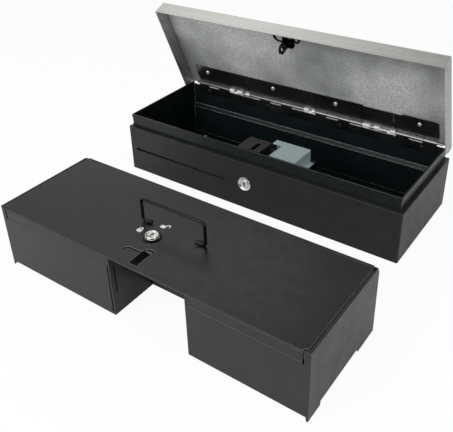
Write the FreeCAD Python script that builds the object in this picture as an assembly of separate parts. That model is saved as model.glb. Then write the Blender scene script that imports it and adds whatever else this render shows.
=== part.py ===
"""Flip-top cash drawer with its removable lockable till.

The drawer is a low sheet-steel box with a stainless lid on a long pin hinge. A solenoid and a
key lock work one latch under the front of the lid. The till is a U-shaped steel case that lifts
out: its notch clears the latch work, and its cover has its own lock and a folding wire handle.

Frame: the origin is at the centre of the drawer's footprint, on the counter. +X runs along the
front to the right, +Y to the back and +Z up. Millimetres. The lid stands open, and the till
stands on the counter in front of the drawer.
"""
import FreeCAD
import Part

import math
import os

V = FreeCAD.Vector

# Driving dimensions of the drawer
WIDTH, DEPTH, HEIGHT = 460.0, 170.0, 100.0
SHELL_T, SHEET = 1.2, 1.0
WALL_TOP, RIM_TOP = 76.0, 96.0
LEDGE = 5.3
HEM, HEM_DROP = 1.0, 5.0
FLOOR_TOP = 2.0
FLANGE_RISE = 10.0
LID_OPEN_DEG = 67.0
LID_SKIRT = 23.0
RUNNING = 0.05

# Front of the drawer: key lock, media slot and the line that the latch works on
LATCH_X, LOCK_Z = -6.5, 42.0
SLOT_LEFT, SLOT_RIGHT, SLOT_Z, SLOT_HIGH = -218.0, -42.0, 37.6, 4.0
LOCK_BARREL_R = 9.0

# Cable outlet in the back, and counter fixings in the floor
OUTLET_X, OUTLET_Z, OUTLET_R = 0.0, 24.0, 4.0
FIXING_X, FIXING_Y, FIXING_R = 192.0, 62.0, 2.25

# Hinge of the lid
PIN_R, KNUCKLE_R, LEAF_T = 2.0, 3.25, 1.2
HINGE_HALF = 211.0
LEAF_REACH = 41.0
SCREW_LINE = 28.0
LID_UNDER = HEIGHT - SHEET
BACK_FACE = DEPTH / 2 - LEDGE - SHEET
HINGE_Z = LID_UNDER - KNUCKLE_R
HINGE_Y = BACK_FACE - LEAF_T + KNUCKLE_R
SPRING_BAYS = ((-148.0, -106.0), (-5.0, 17.0), (96.0, 150.0))
SPRING_R, SPRING_WIRE = 3.2, 0.6
LID_SCREWS = (-187.0, -57.0, 54.0, 185.0)
LEAF_RIVETS = (-190.0, -70.0, 60.0, 190.0)
RIVET_Z = 85.0
LID_STOPS = (-120.0, 120.0)

# Latch work
MECH_LEFT, MECH_RIGHT = -31.0, 72.0
MECH_FRONT, MECH_BACK = -74.0, -16.0
TABLE_TOP, MECH_TOP, MECH_T = 70.0, 90.0, 1.2
LEVER_Y, LEVER_T = -56.0, 3.0
PIVOT_X, PIVOT_Z = LATCH_X + 11.0, 62.0
CLEVIS_X, CLEVIS_Z = LATCH_X + 12.5, 80.0
FOLLOWER_X, FOLLOWER_Z = LATCH_X - 15.2, 42.0
PLUNGER_Z, PLUNGER_R = 79.5, 4.0
CAM_BACK, CAM_T = -59.6, 2.4

# Till, in its own corner's coordinates, and where it stands
TILL_W, TILL_D, TILL_H = 444.0, 150.0, 92.0
TILL_X, TILL_Y = -189.5, -362.0
TILL_FOOT, TILL_T = 5.5, 1.0
NOTCH_L, NOTCH_R, NOTCH_D = 187.0, 296.0, 66.0
COVER_UNDER = TILL_H - TILL_T
CASE_TOP = COVER_UNDER - 2.6
SEAM = 0.2
RAIL, COVER_EDGE = 2.6, 4.6
CORNER_W, CORNER_FOLD, SLIT_W, SLIT_H = 6.8, 2.4, 2.0, 14.0
BAND_H, BAND_STEP, ARM_W = 12.0, 0.4, 3.0
FRONT_FOOT, REAR_FOOT = 25.0, 111.0
COVER_PIN_R, COVER_KNUCKLE_R = 1.5, 2.6
COVER_Y, COVER_Z = TILL_D - COVER_KNUCKLE_R, TILL_H - COVER_KNUCKLE_R
TILL_LOCK_U, TILL_LOCK_V = 205.0, 55.0
TILL_BARREL_R, TILL_BARREL_DROP, CAM_SLOT_HIGH = 8.5, 15.5, 5.0
HANDLE_U, HANDLE_V = 220.5, 75.0
HANDLE_SPAN, HANDLE_RISE, WIRE_R = 94.0, 30.0, 1.9
HANDLE_Z = TILL_H + WIRE_R + 0.15
SADDLE_IN, SADDLE_T, SADDLE_HALF = 8.0, 0.8, 2.6
SADDLE_FOOT, SADDLE_RIVET, SADDLE_RIVET_R = 6.6, 4.7, 0.9
COIN_L, COIN_R, COIN_TOP, COIN_T = NOTCH_R + 2.0, TILL_W - 2.2, 50.0, 1.8
DIVIDER_TOP = 74.0


# ---------------------------------------------------------------- plain shapes

def block(x0, x1, y0, y1, z0, z1):
    return Part.makeBox(x1 - x0, y1 - y0, z1 - z0, V(x0, y0, z0))


def rod(radius, start, end):
    a, b = V(*start), V(*end)
    return Part.makeCylinder(radius, (b - a).Length, a, b - a)


def tube(outer, inner, start, end):
    return rod(outer, start, end).cut(rod(inner, start, end))


def prism(points, along):
    vectors = [V(*p) for p in points]
    return Part.Face(Part.makePolygon(vectors + vectors[:1])).extrude(V(*along))


def across(points, x0, x1):
    """A profile in Y and Z, drawn out along X."""
    return prism([(x0, y, z) for y, z in points], (x1 - x0, 0, 0))


def through(points, y0, y1):
    """A profile in X and Z, drawn out along Y."""
    return prism([(x, y0, z) for x, z in points], (0, y1 - y0, 0))


def turned(points):
    """A profile of radii and heights, turned about Z."""
    ring = [V(r, 0, h) for r, h in points]
    return Part.Face(Part.makePolygon(ring + ring[:1])).revolve(V(0, 0, 0), V(0, 0, 1), 360)


def joined(*shapes):
    return shapes[0].multiFuse(list(shapes[1:])).removeSplitter()


def cut_all(shape, cutters):
    return shape.cut(Part.makeCompound(list(cutters)))


def placed(shape, centre, direction):
    """Turns a shape built up along +Z to stand along a direction, then moves it."""
    turn = FreeCAD.Rotation(V(0, 0, 1), V(*direction))
    move = FreeCAD.Placement(V(*centre), turn)
    shape.Placement = move.multiply(shape.Placement)
    return shape


def link(start, end, radius, y0, y1):
    """A round-ended bar in X and Z, drawn out along Y."""
    dx, dz = end[0] - start[0], end[1] - start[1]
    length = math.hypot(dx, dz)
    nx, nz = -dz / length * radius, dx / length * radius
    corners = [(start[0] + nx, start[1] + nz), (end[0] + nx, end[1] + nz),
               (end[0] - nx, end[1] - nz), (start[0] - nx, start[1] - nz)]
    ends = [rod(radius, (x, y0, z), (x, y1, z)) for x, z in (start, end)]
    return joined(through(corners, y0, y1), *ends)


def upright_edges(shape):
    return [e for e in shape.Edges if abs(e.tangentAt(e.FirstParameter).z) > 0.9]


def rounded_plate(x0, x1, y0, y1, z0, z1, radius):
    """A flat plate whose four upright edges are rounded."""
    plate = block(x0, x1, y0, y1, z0, z1)
    return plate.makeFillet(radius, upright_edges(plate))


def screw(head_r, head_h, shank_r, shank_h, seat, direction):
    """A round-head screw or rivet: its head stands on the seat, its shank goes the other way."""
    crown = head_h * 0.55
    head = Part.makeCylinder(head_r, head_h)
    head = head.makeFillet(crown, [e for e in head.Edges if e.BoundBox.ZMin > head_h - 0.01])
    return placed(head.fuse(Part.makeCylinder(shank_r, shank_h, V(0, 0, -shank_h))), seat, direction)


def hexagon(across_flats, height, bore):
    """A nut, with two of its flats facing along Y."""
    corner = across_flats / 2 / math.cos(math.pi / 6)
    angles = [math.radians(60 * i) for i in range(6)]
    points = [(corner * math.cos(a), corner * math.sin(a), 0) for a in angles]
    return prism(points, (0, 0, height)).cut(Part.makeCylinder(bore, height))


def lock_body(head, barrel_r, plug_r, drop):
    """A cylinder lock's body along +Z: a head of the given profile on a barrel, bored for the plug."""
    bore = plug_r + RUNNING
    return turned([(bore, -drop), (barrel_r, -drop), (barrel_r, 0)] + head + [(bore, head[-1][1])])


def dished_head(radius, proud):
    """A round head with a raised rim and a shallow dish inside it."""
    return [(radius, 0), (radius, proud - 1.0), (radius - 0.6, proud - 0.3), (radius - 1.5, proud),
            (radius - 2.0, proud), (radius - 3.4, proud - 1.2)]


def collared_head(flange_r, collar_r, proud):
    """A low sloping flange with a tall polished collar standing on it."""
    return [(flange_r, 0), (flange_r, 0.5), (flange_r - 0.6, 1.0), (collar_r + 0.5, 1.5), (collar_r, 1.8),
            (collar_r, proud - 0.6), (collar_r - 0.2, proud - 0.2), (collar_r - 0.7, proud)]


def lock_plug(plug_r, proud, drop, tail_r, tail):
    """A lock's plug along +Z: a keyway in its face, a thinner tail for the cam and a screw hole."""
    face = Part.makeCylinder(plug_r, proud + drop, V(0, 0, -drop))
    face = face.makeFillet(0.5, [e for e in face.Edges if e.BoundBox.ZMin > proud - 0.01])
    body = joined(face, Part.makeCylinder(tail_r, tail, V(0, 0, -drop - tail)))
    deep = proud - 8
    keyway = [block(-0.9, 0.9, -4.2, 4.2, deep, proud + 1), Part.makeCylinder(1.7, 10, V(0, 1.2, deep))]
    return cut_all(body, keyway + [Part.makeCylinder(1.5, 6, V(0, 0, -drop - tail))])


def save(name, *solids):
    shape = solids[0] if len(solids) == 1 else Part.makeCompound(list(solids))
    size = f"{len(shape.Solids):2d} solids {shape.Volume / 1000:8.2f} cm3"
    print(f"{name:22s} {size}  valid {shape.isValid()}")
    shape.exportStep(f"parts/{name}.step")


# ---------------------------------------------------------------- drawer housing

def outer_shell():
    """Wrap-round walls with a ledge turned in at the top, a media slot and a lock hole."""
    w, d = WIDTH / 2, DEPTH / 2
    outer = rounded_plate(-w, w, -d, d, 0, WALL_TOP, 2.0)
    crest = [e for e in outer.Edges if e.BoundBox.ZMin > WALL_TOP - 0.01]
    outer = outer.makeFillet(0.6, crest)
    inner = rounded_plate(-w + SHELL_T, w - SHELL_T, -d + SHELL_T, d - SHELL_T, 0, WALL_TOP - SHELL_T, 0.8)
    mouth = block(-w + LEDGE, w - LEDGE, -d + LEDGE, d - LEDGE, WALL_TOP - 2 * SHELL_T, WALL_TOP)
    slot = block(SLOT_LEFT, SLOT_RIGHT, -d - 1, -d + 3, SLOT_Z - SLOT_HIGH / 2, SLOT_Z + SLOT_HIGH / 2)
    lock_hole = rod(LOCK_BARREL_R + 0.1, (LATCH_X, -d - 1, LOCK_Z), (LATCH_X, -d + 3, LOCK_Z))
    outlet = rod(OUTLET_R + 3, (OUTLET_X, d - 3, OUTLET_Z), (OUTLET_X, d + 1, OUTLET_Z))
    return cut_all(outer, [inner, mouth, slot, lock_hole, outlet])


def fixing_points():
    return [(sx * FIXING_X, sy * FIXING_Y) for sx in (-1, 1) for sy in (-1, 1)]


def floor_screw_points():
    """Where the latch work's bench is screwed to the floor."""
    return [(MECH_LEFT + 12, -58), (MECH_RIGHT - 12, -58)]


def base_plate():
    """Floor with upturned edges and four pressed dimples, each open for a counter screw."""
    w, d = WIDTH / 2 - SHELL_T, DEPTH / 2 - SHELL_T
    low, lip = FLOOR_TOP - SHEET, FLOOR_TOP + FLANGE_RISE
    pan = rounded_plate(-w, w, -d, d, low, lip, 1.0)
    pan = pan.cut(block(-w + SHEET, w - SHEET, -d + SHEET, d - SHEET, FLOOR_TOP, lip))
    profile = [(FIXING_R, 0), (8.0, 0), (11.0, low), (12.5, low), (12.5, FLOOR_TOP), (10.6, FLOOR_TOP),
               (7.6, SHEET), (FIXING_R, SHEET)]
    dimples = [placed(turned(profile), (x, y, 0), (0, 0, 1)) for x, y in fixing_points()]
    wells = [rod(12.5, (x, y, 0), (x, y, FLOOR_TOP)) for x, y in fixing_points()]
    screw_holes = [rod(1.6, (x, y, 0), (x, y, FLOOR_TOP + 1)) for x, y in floor_screw_points()]
    return cut_all(joined(cut_all(pan, wells), *dimples), screw_holes)


def fixing_washers():
    """Bright cup washers in the dimples, for the heads of the counter screws."""
    bore = FIXING_R + 0.35
    profile = [(bore, SHEET), (5.6, SHEET), (5.6, SHEET + 0.5), (4.4, SHEET + 1.5), (3.8, SHEET + 1.5),
               (bore, SHEET + 0.7)]
    return [placed(turned(profile), (x, y, 0), (0, 0, 1)) for x, y in fixing_points()]


def inner_rim():
    """The tray's front and side walls, standing above the ledge, with a hem along the top."""
    w, d = WIDTH / 2 - LEDGE, DEPTH / 2 - LEDGE
    body = block(-w, w, -d, d, FLOOR_TOP, RIM_TOP)
    hem = block(-w - HEM, w + HEM, -d - HEM, d, RIM_TOP - HEM_DROP, RIM_TOP)
    hem = hem.makeFillet(1.5, [e for e in upright_edges(hem) if e.BoundBox.YMin < 0])
    solid = joined(body, hem)
    crest = [e for e in solid.Edges if e.BoundBox.ZMin > RIM_TOP - 0.01 and e.BoundBox.YMin < d - 0.01]
    rim = solid.makeFillet(0.5, crest)
    inside = block(-w + SHEET, w - SHEET, -d + SHEET, d + 1, FLOOR_TOP, RIM_TOP + 1)
    slot = block(SLOT_LEFT - 1, SLOT_RIGHT + 1, -d - 1, -d + 2, SLOT_Z - SLOT_HIGH, SLOT_Z + SLOT_HIGH)
    lock_hole = rod(LOCK_BARREL_R + 0.1, (LATCH_X, -d - 1, LOCK_Z), (LATCH_X, -d + 3, LOCK_Z))
    return cut_all(rim, [inside, slot, lock_hole])


def back_panel():
    """The tray's back wall: stepped in below for stiffness, with two lips that stop the lid."""
    half = WIDTH / 2 - LEDGE - SHEET
    step, top = 3.0, HINGE_Z - KNUCKLE_R - 0.1
    profile = [(BACK_FACE - step, FLOOR_TOP), (BACK_FACE - step, 50), (BACK_FACE, 56), (BACK_FACE, top),
               (BACK_FACE + SHEET, top), (BACK_FACE + SHEET, 55.6), (BACK_FACE - step + SHEET, 49.6),
               (BACK_FACE - step + SHEET, FLOOR_TOP)]
    edge_y, edge_z = lid_point(DEPTH / 2, LID_UNDER)
    lip = [(BACK_FACE + SHEET, edge_z - 9), (edge_y - 0.4, edge_z - 1.5), (edge_y - 1.2, edge_z - 0.9),
           (BACK_FACE + SHEET, edge_z - 7.6)]
    lips = [across(lip, x - 15, x + 15) for x in LID_STOPS]
    holes = [rod(2.0, (x, BACK_FACE - 5, RIVET_Z), (x, BACK_FACE + 5, RIVET_Z)) for x in LEAF_RIVETS]
    outlet = rod(OUTLET_R + 2, (OUTLET_X, BACK_FACE - 5, OUTLET_Z), (OUTLET_X, BACK_FACE + 5, OUTLET_Z))
    return cut_all(joined(across(profile, -half, half), *lips), holes + [outlet])


def cable_grommet():
    """Rubber ring in the shell's back wall: grooved for the sheet, with a rounded outer lip."""
    ring = turned([(OUTLET_R, -2.2), (8.0, -2.2), (8.6, -1.4), (8.6, 0), (OUTLET_R + 3, 0),
                   (OUTLET_R + 3, SHELL_T), (8.6, SHELL_T), (8.6, 2.6), (7.8, 3.4), (OUTLET_R, 3.4)])
    return placed(ring, (OUTLET_X, DEPTH / 2 - SHELL_T, OUTLET_Z), (0, 1, 0))


# ---------------------------------------------------------------- lid and its hinge

def lid_point(y, z):
    """Where a point of the closed lid stands when the lid is open."""
    a = math.radians(LID_OPEN_DEG)
    dy, dz = y - HINGE_Y, z - HINGE_Z
    return HINGE_Y + dy * math.cos(a) + dz * math.sin(a), HINGE_Z - dy * math.sin(a) + dz * math.cos(a)


def opened(shape):
    shape.rotate(V(0, HINGE_Y, HINGE_Z), V(-1, 0, 0), LID_OPEN_DEG)
    return shape


def lid_panel():
    """Stainless pan: top and three skirts, with corner seams and cut-back rear corners."""
    w, d = WIDTH / 2, DEPTH / 2
    low = HEIGHT - LID_SKIRT
    pan = block(-w, w, -d, d, low, HEIGHT)
    folds = [e for e in pan.Edges if e.BoundBox.ZMin > HEIGHT - 0.01 and e.BoundBox.YMin < d - 0.01]
    folds += [e for e in upright_edges(pan) if e.BoundBox.YMin < 0]
    pan = pan.makeFillet(1.6, folds)
    hollow = block(-w + SHEET, w - SHEET, -d + SHEET, d + 1, low - 1, LID_UNDER)
    seams = [block(s * w - 1.5, s * w + 1.5, -d + 1.7, -d + 2.1, low - 1, HEIGHT - 3) for s in (-1, 1)]
    corner = [(d - 9, low - 1), (d + 1, low - 1), (d + 1, low + 13), (d, low + 12), (d - 9, low)]
    return opened(cut_all(pan, seams + [hollow, across(corner, -w - 1, w + 1)]))


def knuckle_spans():
    """Stretches of the hinge between the springs, cut into knuckles that take turns."""
    edges = [-HINGE_HALF] + [x for bay in SPRING_BAYS for x in bay] + [HINGE_HALF]
    spans = []
    for start, end in zip(edges[0::2], edges[1::2]):
        count = max(2, round((end - start) / 21))
        pitch = (end - start) / count
        spans += [(start + i * pitch, start + (i + 1) * pitch) for i in range(count)]
    return spans


def knuckles(turn):
    gap = 0.3
    return [rod(KNUCKLE_R, (a + gap, HINGE_Y, HINGE_Z), (b - gap, HINGE_Y, HINGE_Z))
            for i, (a, b) in enumerate(knuckle_spans()) if i % 2 == turn]


def knuckle_gaps(turn):
    """Stretches where a leaf is cut back to clear the springs and the other leaf's knuckles."""
    return [span for i, span in enumerate(knuckle_spans()) if i % 2 != turn] + list(SPRING_BAYS)


def pin_bore():
    return rod(PIN_R + RUNNING, (-HINGE_HALF - 1, HINGE_Y, HINGE_Z), (HINGE_HALF + 4, HINGE_Y, HINGE_Z))


def spring_leg_places():
    return [bay[1] - 3.0 for bay in SPRING_BAYS]


def hinge_body_leaf():
    """The leaf riveted to the tray's back wall."""
    leaf = block(-HINGE_HALF, HINGE_HALF, BACK_FACE - LEAF_T, BACK_FACE, RIVET_Z - 6, HINGE_Z)
    low = HINGE_Z - KNUCKLE_R - 0.7
    gaps = [block(a - 0.2, b + 0.2, BACK_FACE - 3, BACK_FACE + 1, low, HINGE_Z + 1)
            for a, b in knuckle_gaps(0)]
    holes = [rod(2.0, (x, BACK_FACE - 5, RIVET_Z), (x, BACK_FACE + 5, RIVET_Z)) for x in LEAF_RIVETS]
    return cut_all(joined(cut_all(leaf, gaps), *knuckles(0)), holes + [pin_bore()])


def hinge_lid_leaf():
    """The lid's leaf: a deep plate with a stepped front edge and slots for the spring legs."""
    front, back = HINGE_Y - LEAF_REACH, HINGE_Y - KNUCKLE_R - 0.7
    low, high = LID_UNDER - LEAF_T, LID_UNDER
    leaf = rounded_plate(-HINGE_HALF, HINGE_HALF + 2, front, HINGE_Y - 6, low, high, 5.0)
    leaf = joined(leaf, block(-HINGE_HALF, HINGE_HALF, HINGE_Y - 14, HINGE_Y, low, high))
    gaps = [block(a - 0.2, b + 0.2, back, HINGE_Y + 1, low - 1, high + 1) for a, b in knuckle_gaps(1)]
    slots = [block(x - 1.1, x + 1.1, HINGE_Y - 37, HINGE_Y - 20, low - 1, high + 1)
             for x in spring_leg_places()]
    step = block(100, 160, front - 1, front + 2.5, low - 1, high + 1)
    holes = [rod(2.0, (x, HINGE_Y - SCREW_LINE, low - 1), (x, HINGE_Y - SCREW_LINE, high + 1))
             for x in LID_SCREWS]
    plate = cut_all(leaf, gaps + slots + [step])
    return opened(cut_all(joined(plate, *knuckles(1)), holes + [pin_bore()]))


def hinge_pin():
    return rod(PIN_R, (-HINGE_HALF - 5, HINGE_Y, HINGE_Z), (HINGE_HALF + 8, HINGE_Y, HINGE_Z))


def lid_springs():
    """Torsion springs on the pin, one leg up the lid's leaf and one down the leaf behind."""
    tangent = SPRING_R - SPRING_WIRE
    leaf_y, leaf_z = BACK_FACE - LEAF_T - SPRING_WIRE - 0.1, LID_UNDER - LEAF_T - SPRING_WIRE - 0.1
    springs = []
    for (a, b), up_x in zip(SPRING_BAYS, spring_leg_places()):
        coil = tube(SPRING_R, PIN_R + 0.25, (a + 1, HINGE_Y, HINGE_Z), (b - 1, HINGE_Y, HINGE_Z))
        down = leg(a + 4, [(HINGE_Y - tangent, HINGE_Z), (leaf_y, HINGE_Z - 3.4), (leaf_y, HINGE_Z - 14)])
        up = leg(up_x, [(HINGE_Y - 0.5, HINGE_Z + tangent), (HINGE_Y - 4.2, leaf_z), (HINGE_Y - 36, leaf_z)])
        springs.append(joined(coil, down, opened(up)))
    return springs


def leg(x, points):
    """A bent wire in Y and Z."""
    pieces = [rod(SPRING_WIRE, (x, *a), (x, *b)) for a, b in zip(points, points[1:])]
    bends = [Part.makeSphere(SPRING_WIRE, V(x, *p)) for p in points[1:-1]]
    return joined(*pieces, *bends)


def lid_screws():
    seat = LID_UNDER - LEAF_T
    return [opened(screw(3.6, 1.9, 2.0, LEAF_T, (x, HINGE_Y - SCREW_LINE, seat), (0, 0, -1)))
            for x in LID_SCREWS]


def leaf_rivets():
    return [screw(3.2, 1.3, 2.0, LEAF_T + SHEET, (x, BACK_FACE - LEAF_T, RIVET_Z), (0, -1, 0))
            for x in LEAF_RIVETS]


def lid_striker():
    """A lobed foot under the lid, a windowed blade that the latch catches, and a short guide."""
    x, low = LATCH_X, LID_UNDER - LEAF_T
    bar = block(x - 24, x + 21, -83.5, -66, low, LID_UNDER)
    lobes = [rod(r, (x + dx, y, low), (x + dx, y, LID_UNDER))
             for dx, y, r in ((-14, -62, 10), (1, -52, 9), (13, -63, 8))]
    eyes = [rod(r, (x + dx, y, low - 1), (x + dx, y, LID_UNDER + 1))
            for dx, y, r in ((-14, -60, 5.5), (14.5, -61, 3))]
    holes = [rod(2.0, (rx, -77, low - 1), (rx, -77, LID_UNDER + 1)) for rx in striker_rivet_places()]
    foot = cut_all(joined(bar, *lobes), eyes + holes)
    outline = [(-64, low), (-64, 78), (-61, 73.6), (-53, 73.6), (-48, 78), (-48, low)]
    blade = across(outline, x - 1.25, x + 1.25)
    window = block(x - 3, x + 3, -60, -52, 77.2, 83.2)
    guide = across([(-63, low), (-60, MECH_TOP + 1.2), (-57, MECH_TOP + 1.2), (-54, low)], x + 6.5, x + 7.8)
    return opened(joined(foot, blade.cut(window), guide))


def striker_rivet_places():
    return [LATCH_X - 17, LATCH_X + 14]


def striker_rivets():
    seat = LID_UNDER - LEAF_T
    return [opened(screw(3.4, 1.4, 2.0, LEAF_T, (x, -77, seat), (0, 0, -1))) for x in striker_rivet_places()]


# ---------------------------------------------------------------- latch work

def bracket_screw_points():
    """Screws through the feet of the hood and of the slotted plate, into the bench's table."""
    return [(MECH_RIGHT - 3.6, -33), (16, -19), (52, -19), (MECH_LEFT + 5.6, -50)]


def mechanism_frame():
    """A folded bench: a foot on the floor, a back wall and a table, with ears for the lever."""
    t = MECH_T
    profile = [(MECH_FRONT + 6, FLOOR_TOP), (MECH_BACK, FLOOR_TOP), (MECH_BACK, TABLE_TOP),
               (MECH_FRONT, TABLE_TOP), (MECH_FRONT, TABLE_TOP - 8), (MECH_FRONT + t, TABLE_TOP - 8),
               (MECH_FRONT + t, TABLE_TOP - t), (MECH_BACK - t, TABLE_TOP - t),
               (MECH_BACK - t, FLOOR_TOP + t), (MECH_FRONT + 6, FLOOR_TOP + t)]
    gusset = [(MECH_BACK - t, FLOOR_TOP + t), (MECH_BACK - t, TABLE_TOP - t),
              (MECH_FRONT + 12, TABLE_TOP - t), (MECH_BACK - 16, FLOOR_TOP + 22),
              (MECH_BACK - 16, FLOOR_TOP + t)]
    gussets = [across(gusset, x, x + t) for x in (MECH_LEFT, MECH_RIGHT - t)]
    ears = [joined(block(PIVOT_X - 5, PIVOT_X + 5, y, y + 1.5, PIVOT_Z, TABLE_TOP - t),
                   rod(5, (PIVOT_X, y, PIVOT_Z), (PIVOT_X, y + 1.5, PIVOT_Z)))
            for y in (LEVER_Y - 5.5, LEVER_Y + 4)]
    window = block(PIVOT_X - 9, PIVOT_X + 8, LEVER_Y - 3, LEVER_Y + 3, TABLE_TOP - 3, TABLE_TOP + 1)
    lightening = [block(x, x + 20, MECH_BACK - 3, MECH_BACK + 1, 18, 52) for x in (-18, 10, 38)]
    pin_hole = rod(PIN_R, (PIVOT_X, LEVER_Y - 9, PIVOT_Z), (PIVOT_X, LEVER_Y + 9, PIVOT_Z))
    floor_holes = [rod(1.6, (x, y, FLOOR_TOP - 1), (x, y, FLOOR_TOP + 3)) for x, y in floor_screw_points()]
    table_holes = [rod(1.35, (x, y, TABLE_TOP - 3), (x, y, TABLE_TOP + 1))
                   for x, y in bracket_screw_points()]
    bench = joined(across(profile, MECH_LEFT, MECH_RIGHT), *gussets, *ears)
    return cut_all(bench, [window, pin_hole] + lightening + floor_holes + table_holes)


def latch_cover():
    """Black slotted plate over the latch, on a left and a back leg."""
    t = MECH_T
    left, right, front, back = MECH_LEFT + 1, 7.0, -68.0, -33.5
    top = rounded_plate(left, right, front, back, MECH_TOP - t, MECH_TOP, 1.0)
    side = across([(front + 1.5, MECH_TOP - 0.5), (front + 5, TABLE_TOP), (back - 1.5, TABLE_TOP),
                   (back - 1.5, MECH_TOP - 0.5)], left, left + t)
    foot = block(left, left + 8, front + 8, back - 6, TABLE_TOP, TABLE_TOP + t)
    rear = block(left + 1.5, right - 1.5, back - t, back, TABLE_TOP, MECH_TOP - 0.5)
    slot = block(LATCH_X - 3.2, LATCH_X + 3.2, -66, -44, MECH_TOP - 3, MECH_TOP + 1)
    x, y = bracket_screw_points()[3]
    hole = rod(1.35, (x, y, TABLE_TOP - 1), (x, y, TABLE_TOP + 3))
    return cut_all(joined(top, side, foot, rear), [slot, hole])


def solenoid_bracket():
    """Bright zinc hood over the solenoid: a tabbed top, a right wall and a back wall, footed."""
    t = MECH_T
    left, right, front, back = 25.0, MECH_RIGHT - 7, -68.0, -22.0
    top = joined(block(left, right, front, back, MECH_TOP - t, MECH_TOP),
                 block(9, right, -34, back, MECH_TOP - t, MECH_TOP))
    wall = block(right - t, right, front, back, TABLE_TOP, MECH_TOP)
    rear = block(9, right, back - t, back, TABLE_TOP, MECH_TOP)
    hood = joined(top, wall, rear)
    fold = [e for e in hood.Edges if e.BoundBox.ZMin > MECH_TOP - 0.01 and e.BoundBox.XMin > right - 0.01]
    hood = hood.makeFillet(1.0, fold)
    foot = block(right - t, MECH_RIGHT, -42, -24, TABLE_TOP, TABLE_TOP + t)
    rear_foot = block(9, right - 6, back - t, MECH_BACK, TABLE_TOP, TABLE_TOP + t)
    holes = [rod(1.35, (x, y, TABLE_TOP - 1), (x, y, TABLE_TOP + 3)) for x, y in bracket_screw_points()[:3]]
    return cut_all(joined(hood, foot, rear_foot), holes)


def mechanism_screws():
    feet = [screw(2.6, 1.6, 1.35, 2 * MECH_T, (x, y, TABLE_TOP + MECH_T), (0, 0, 1))
            for x, y in bracket_screw_points()]
    floor = [screw(3.4, 2.0, 1.6, MECH_T + SHEET, (x, y, FLOOR_TOP + MECH_T), (0, 0, 1))
             for x, y in floor_screw_points()]
    return feet + floor


def latch_lever():
    """Rocking catch: its nose holds the blade, its top takes the plunger, its tail meets the cam."""
    y0, y1 = LEVER_Y - LEVER_T / 2, LEVER_Y + LEVER_T / 2
    pivot, tail_end = (PIVOT_X, PIVOT_Z), (FOLLOWER_X, FOLLOWER_Z)
    arm = link(pivot, (CLEVIS_X, CLEVIS_Z + 3), 3.6, y0, y1)
    tail = link(pivot, tail_end, 3.2, y0, y1)
    boss = rod(5, (PIVOT_X, y0, PIVOT_Z), (PIVOT_X, y1, PIVOT_Z))
    tip = LATCH_X + 2.7
    nose = through([(CLEVIS_X - 2, 78.6), (tip + 1.1, 79.6), (tip, 80.6), (tip, 81.8), (tip + 0.9, 82.4),
                    (CLEVIS_X - 2, 84)], y0, y1)
    follower = rod(2.5, (FOLLOWER_X, LEVER_Y - 6, FOLLOWER_Z), (FOLLOWER_X, y0, FOLLOWER_Z))
    bore = rod(PIN_R + RUNNING, (PIVOT_X, y0 - 1, PIVOT_Z), (PIVOT_X, y1 + 1, PIVOT_Z))
    pin_slot = link((CLEVIS_X, CLEVIS_Z - 0.6), (CLEVIS_X, CLEVIS_Z + 0.6), 1.85, y0 - 1, y1 + 1)
    return cut_all(joined(arm, tail, boss, nose, follower), [bore, pin_slot])


def lever_pin():
    head = rod(3.2, (PIVOT_X, LEVER_Y - 6.5, PIVOT_Z), (PIVOT_X, LEVER_Y - 5.5, PIVOT_Z))
    return joined(head, rod(PIN_R, (PIVOT_X, LEVER_Y - 5.5, PIVOT_Z), (PIVOT_X, LEVER_Y + 6.5, PIVOT_Z)))


def solenoid_frame():
    y0, y1, t = LEVER_Y - 9, LEVER_Y + 9, 1.5
    yoke = block(22, 60, y0, y1, TABLE_TOP, 88).cut(block(22 + t, 60 - t, y0, y1, TABLE_TOP + t, 88))
    return yoke.cut(rod(PLUNGER_R + 0.1, (20, LEVER_Y, PLUNGER_Z), (24, LEVER_Y, PLUNGER_Z)))


def solenoid_coil():
    """Wound bobbin: two cheeks on a sleeve of wire."""
    bore = PLUNGER_R + 0.1
    cheeks = [tube(8.0, bore, (x, LEVER_Y, PLUNGER_Z), (x + 1.2, LEVER_Y, PLUNGER_Z)) for x in (23.5, 57.3)]
    winding = tube(7.2, bore, (24.7, LEVER_Y, PLUNGER_Z), (57.3, LEVER_Y, PLUNGER_Z))
    return joined(winding, *cheeks)


def solenoid_plunger():
    """Steel core with a forked end that straddles the lever."""
    stem = rod(PLUNGER_R, (13.5, LEVER_Y, PLUNGER_Z), (50, LEVER_Y, PLUNGER_Z))
    root = block(11, 14, LEVER_Y - 5, LEVER_Y + 5, PLUNGER_Z - 4, PLUNGER_Z + 4)
    cheeks = [block(1, 11, LEVER_Y + a, LEVER_Y + b, PLUNGER_Z - 3.5, PLUNGER_Z + 3.5)
              for a, b in ((-5, -2.2), (2.2, 5))]
    pin_hole = rod(1.5, (CLEVIS_X, LEVER_Y - 6, CLEVIS_Z), (CLEVIS_X, LEVER_Y + 6, CLEVIS_Z))
    return joined(stem, root, *cheeks).cut(pin_hole)


def plunger_pin():
    return rod(1.5, (CLEVIS_X, LEVER_Y - 5.6, CLEVIS_Z), (CLEVIS_X, LEVER_Y + 5.6, CLEVIS_Z))


def plunger_spring():
    return tube(5.4, PLUNGER_R + 0.3, (14, LEVER_Y, PLUNGER_Z), (22, LEVER_Y, PLUNGER_Z))


# ---------------------------------------------------------------- the drawer's lock

BARREL_BACK = CAM_BACK - CAM_T


def on_front(shape):
    """Stands a lock piece built along +Z on the drawer's front, facing out."""
    shape.rotate(V(0, 0, 0), V(1, 0, 0), 90)
    shape.translate(V(LATCH_X, -DEPTH / 2, LOCK_Z))
    return shape


def drawer_lock_body():
    return on_front(lock_body(dished_head(10.7, 3.0), LOCK_BARREL_R, 6.5, BARREL_BACK + DEPTH / 2))


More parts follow.
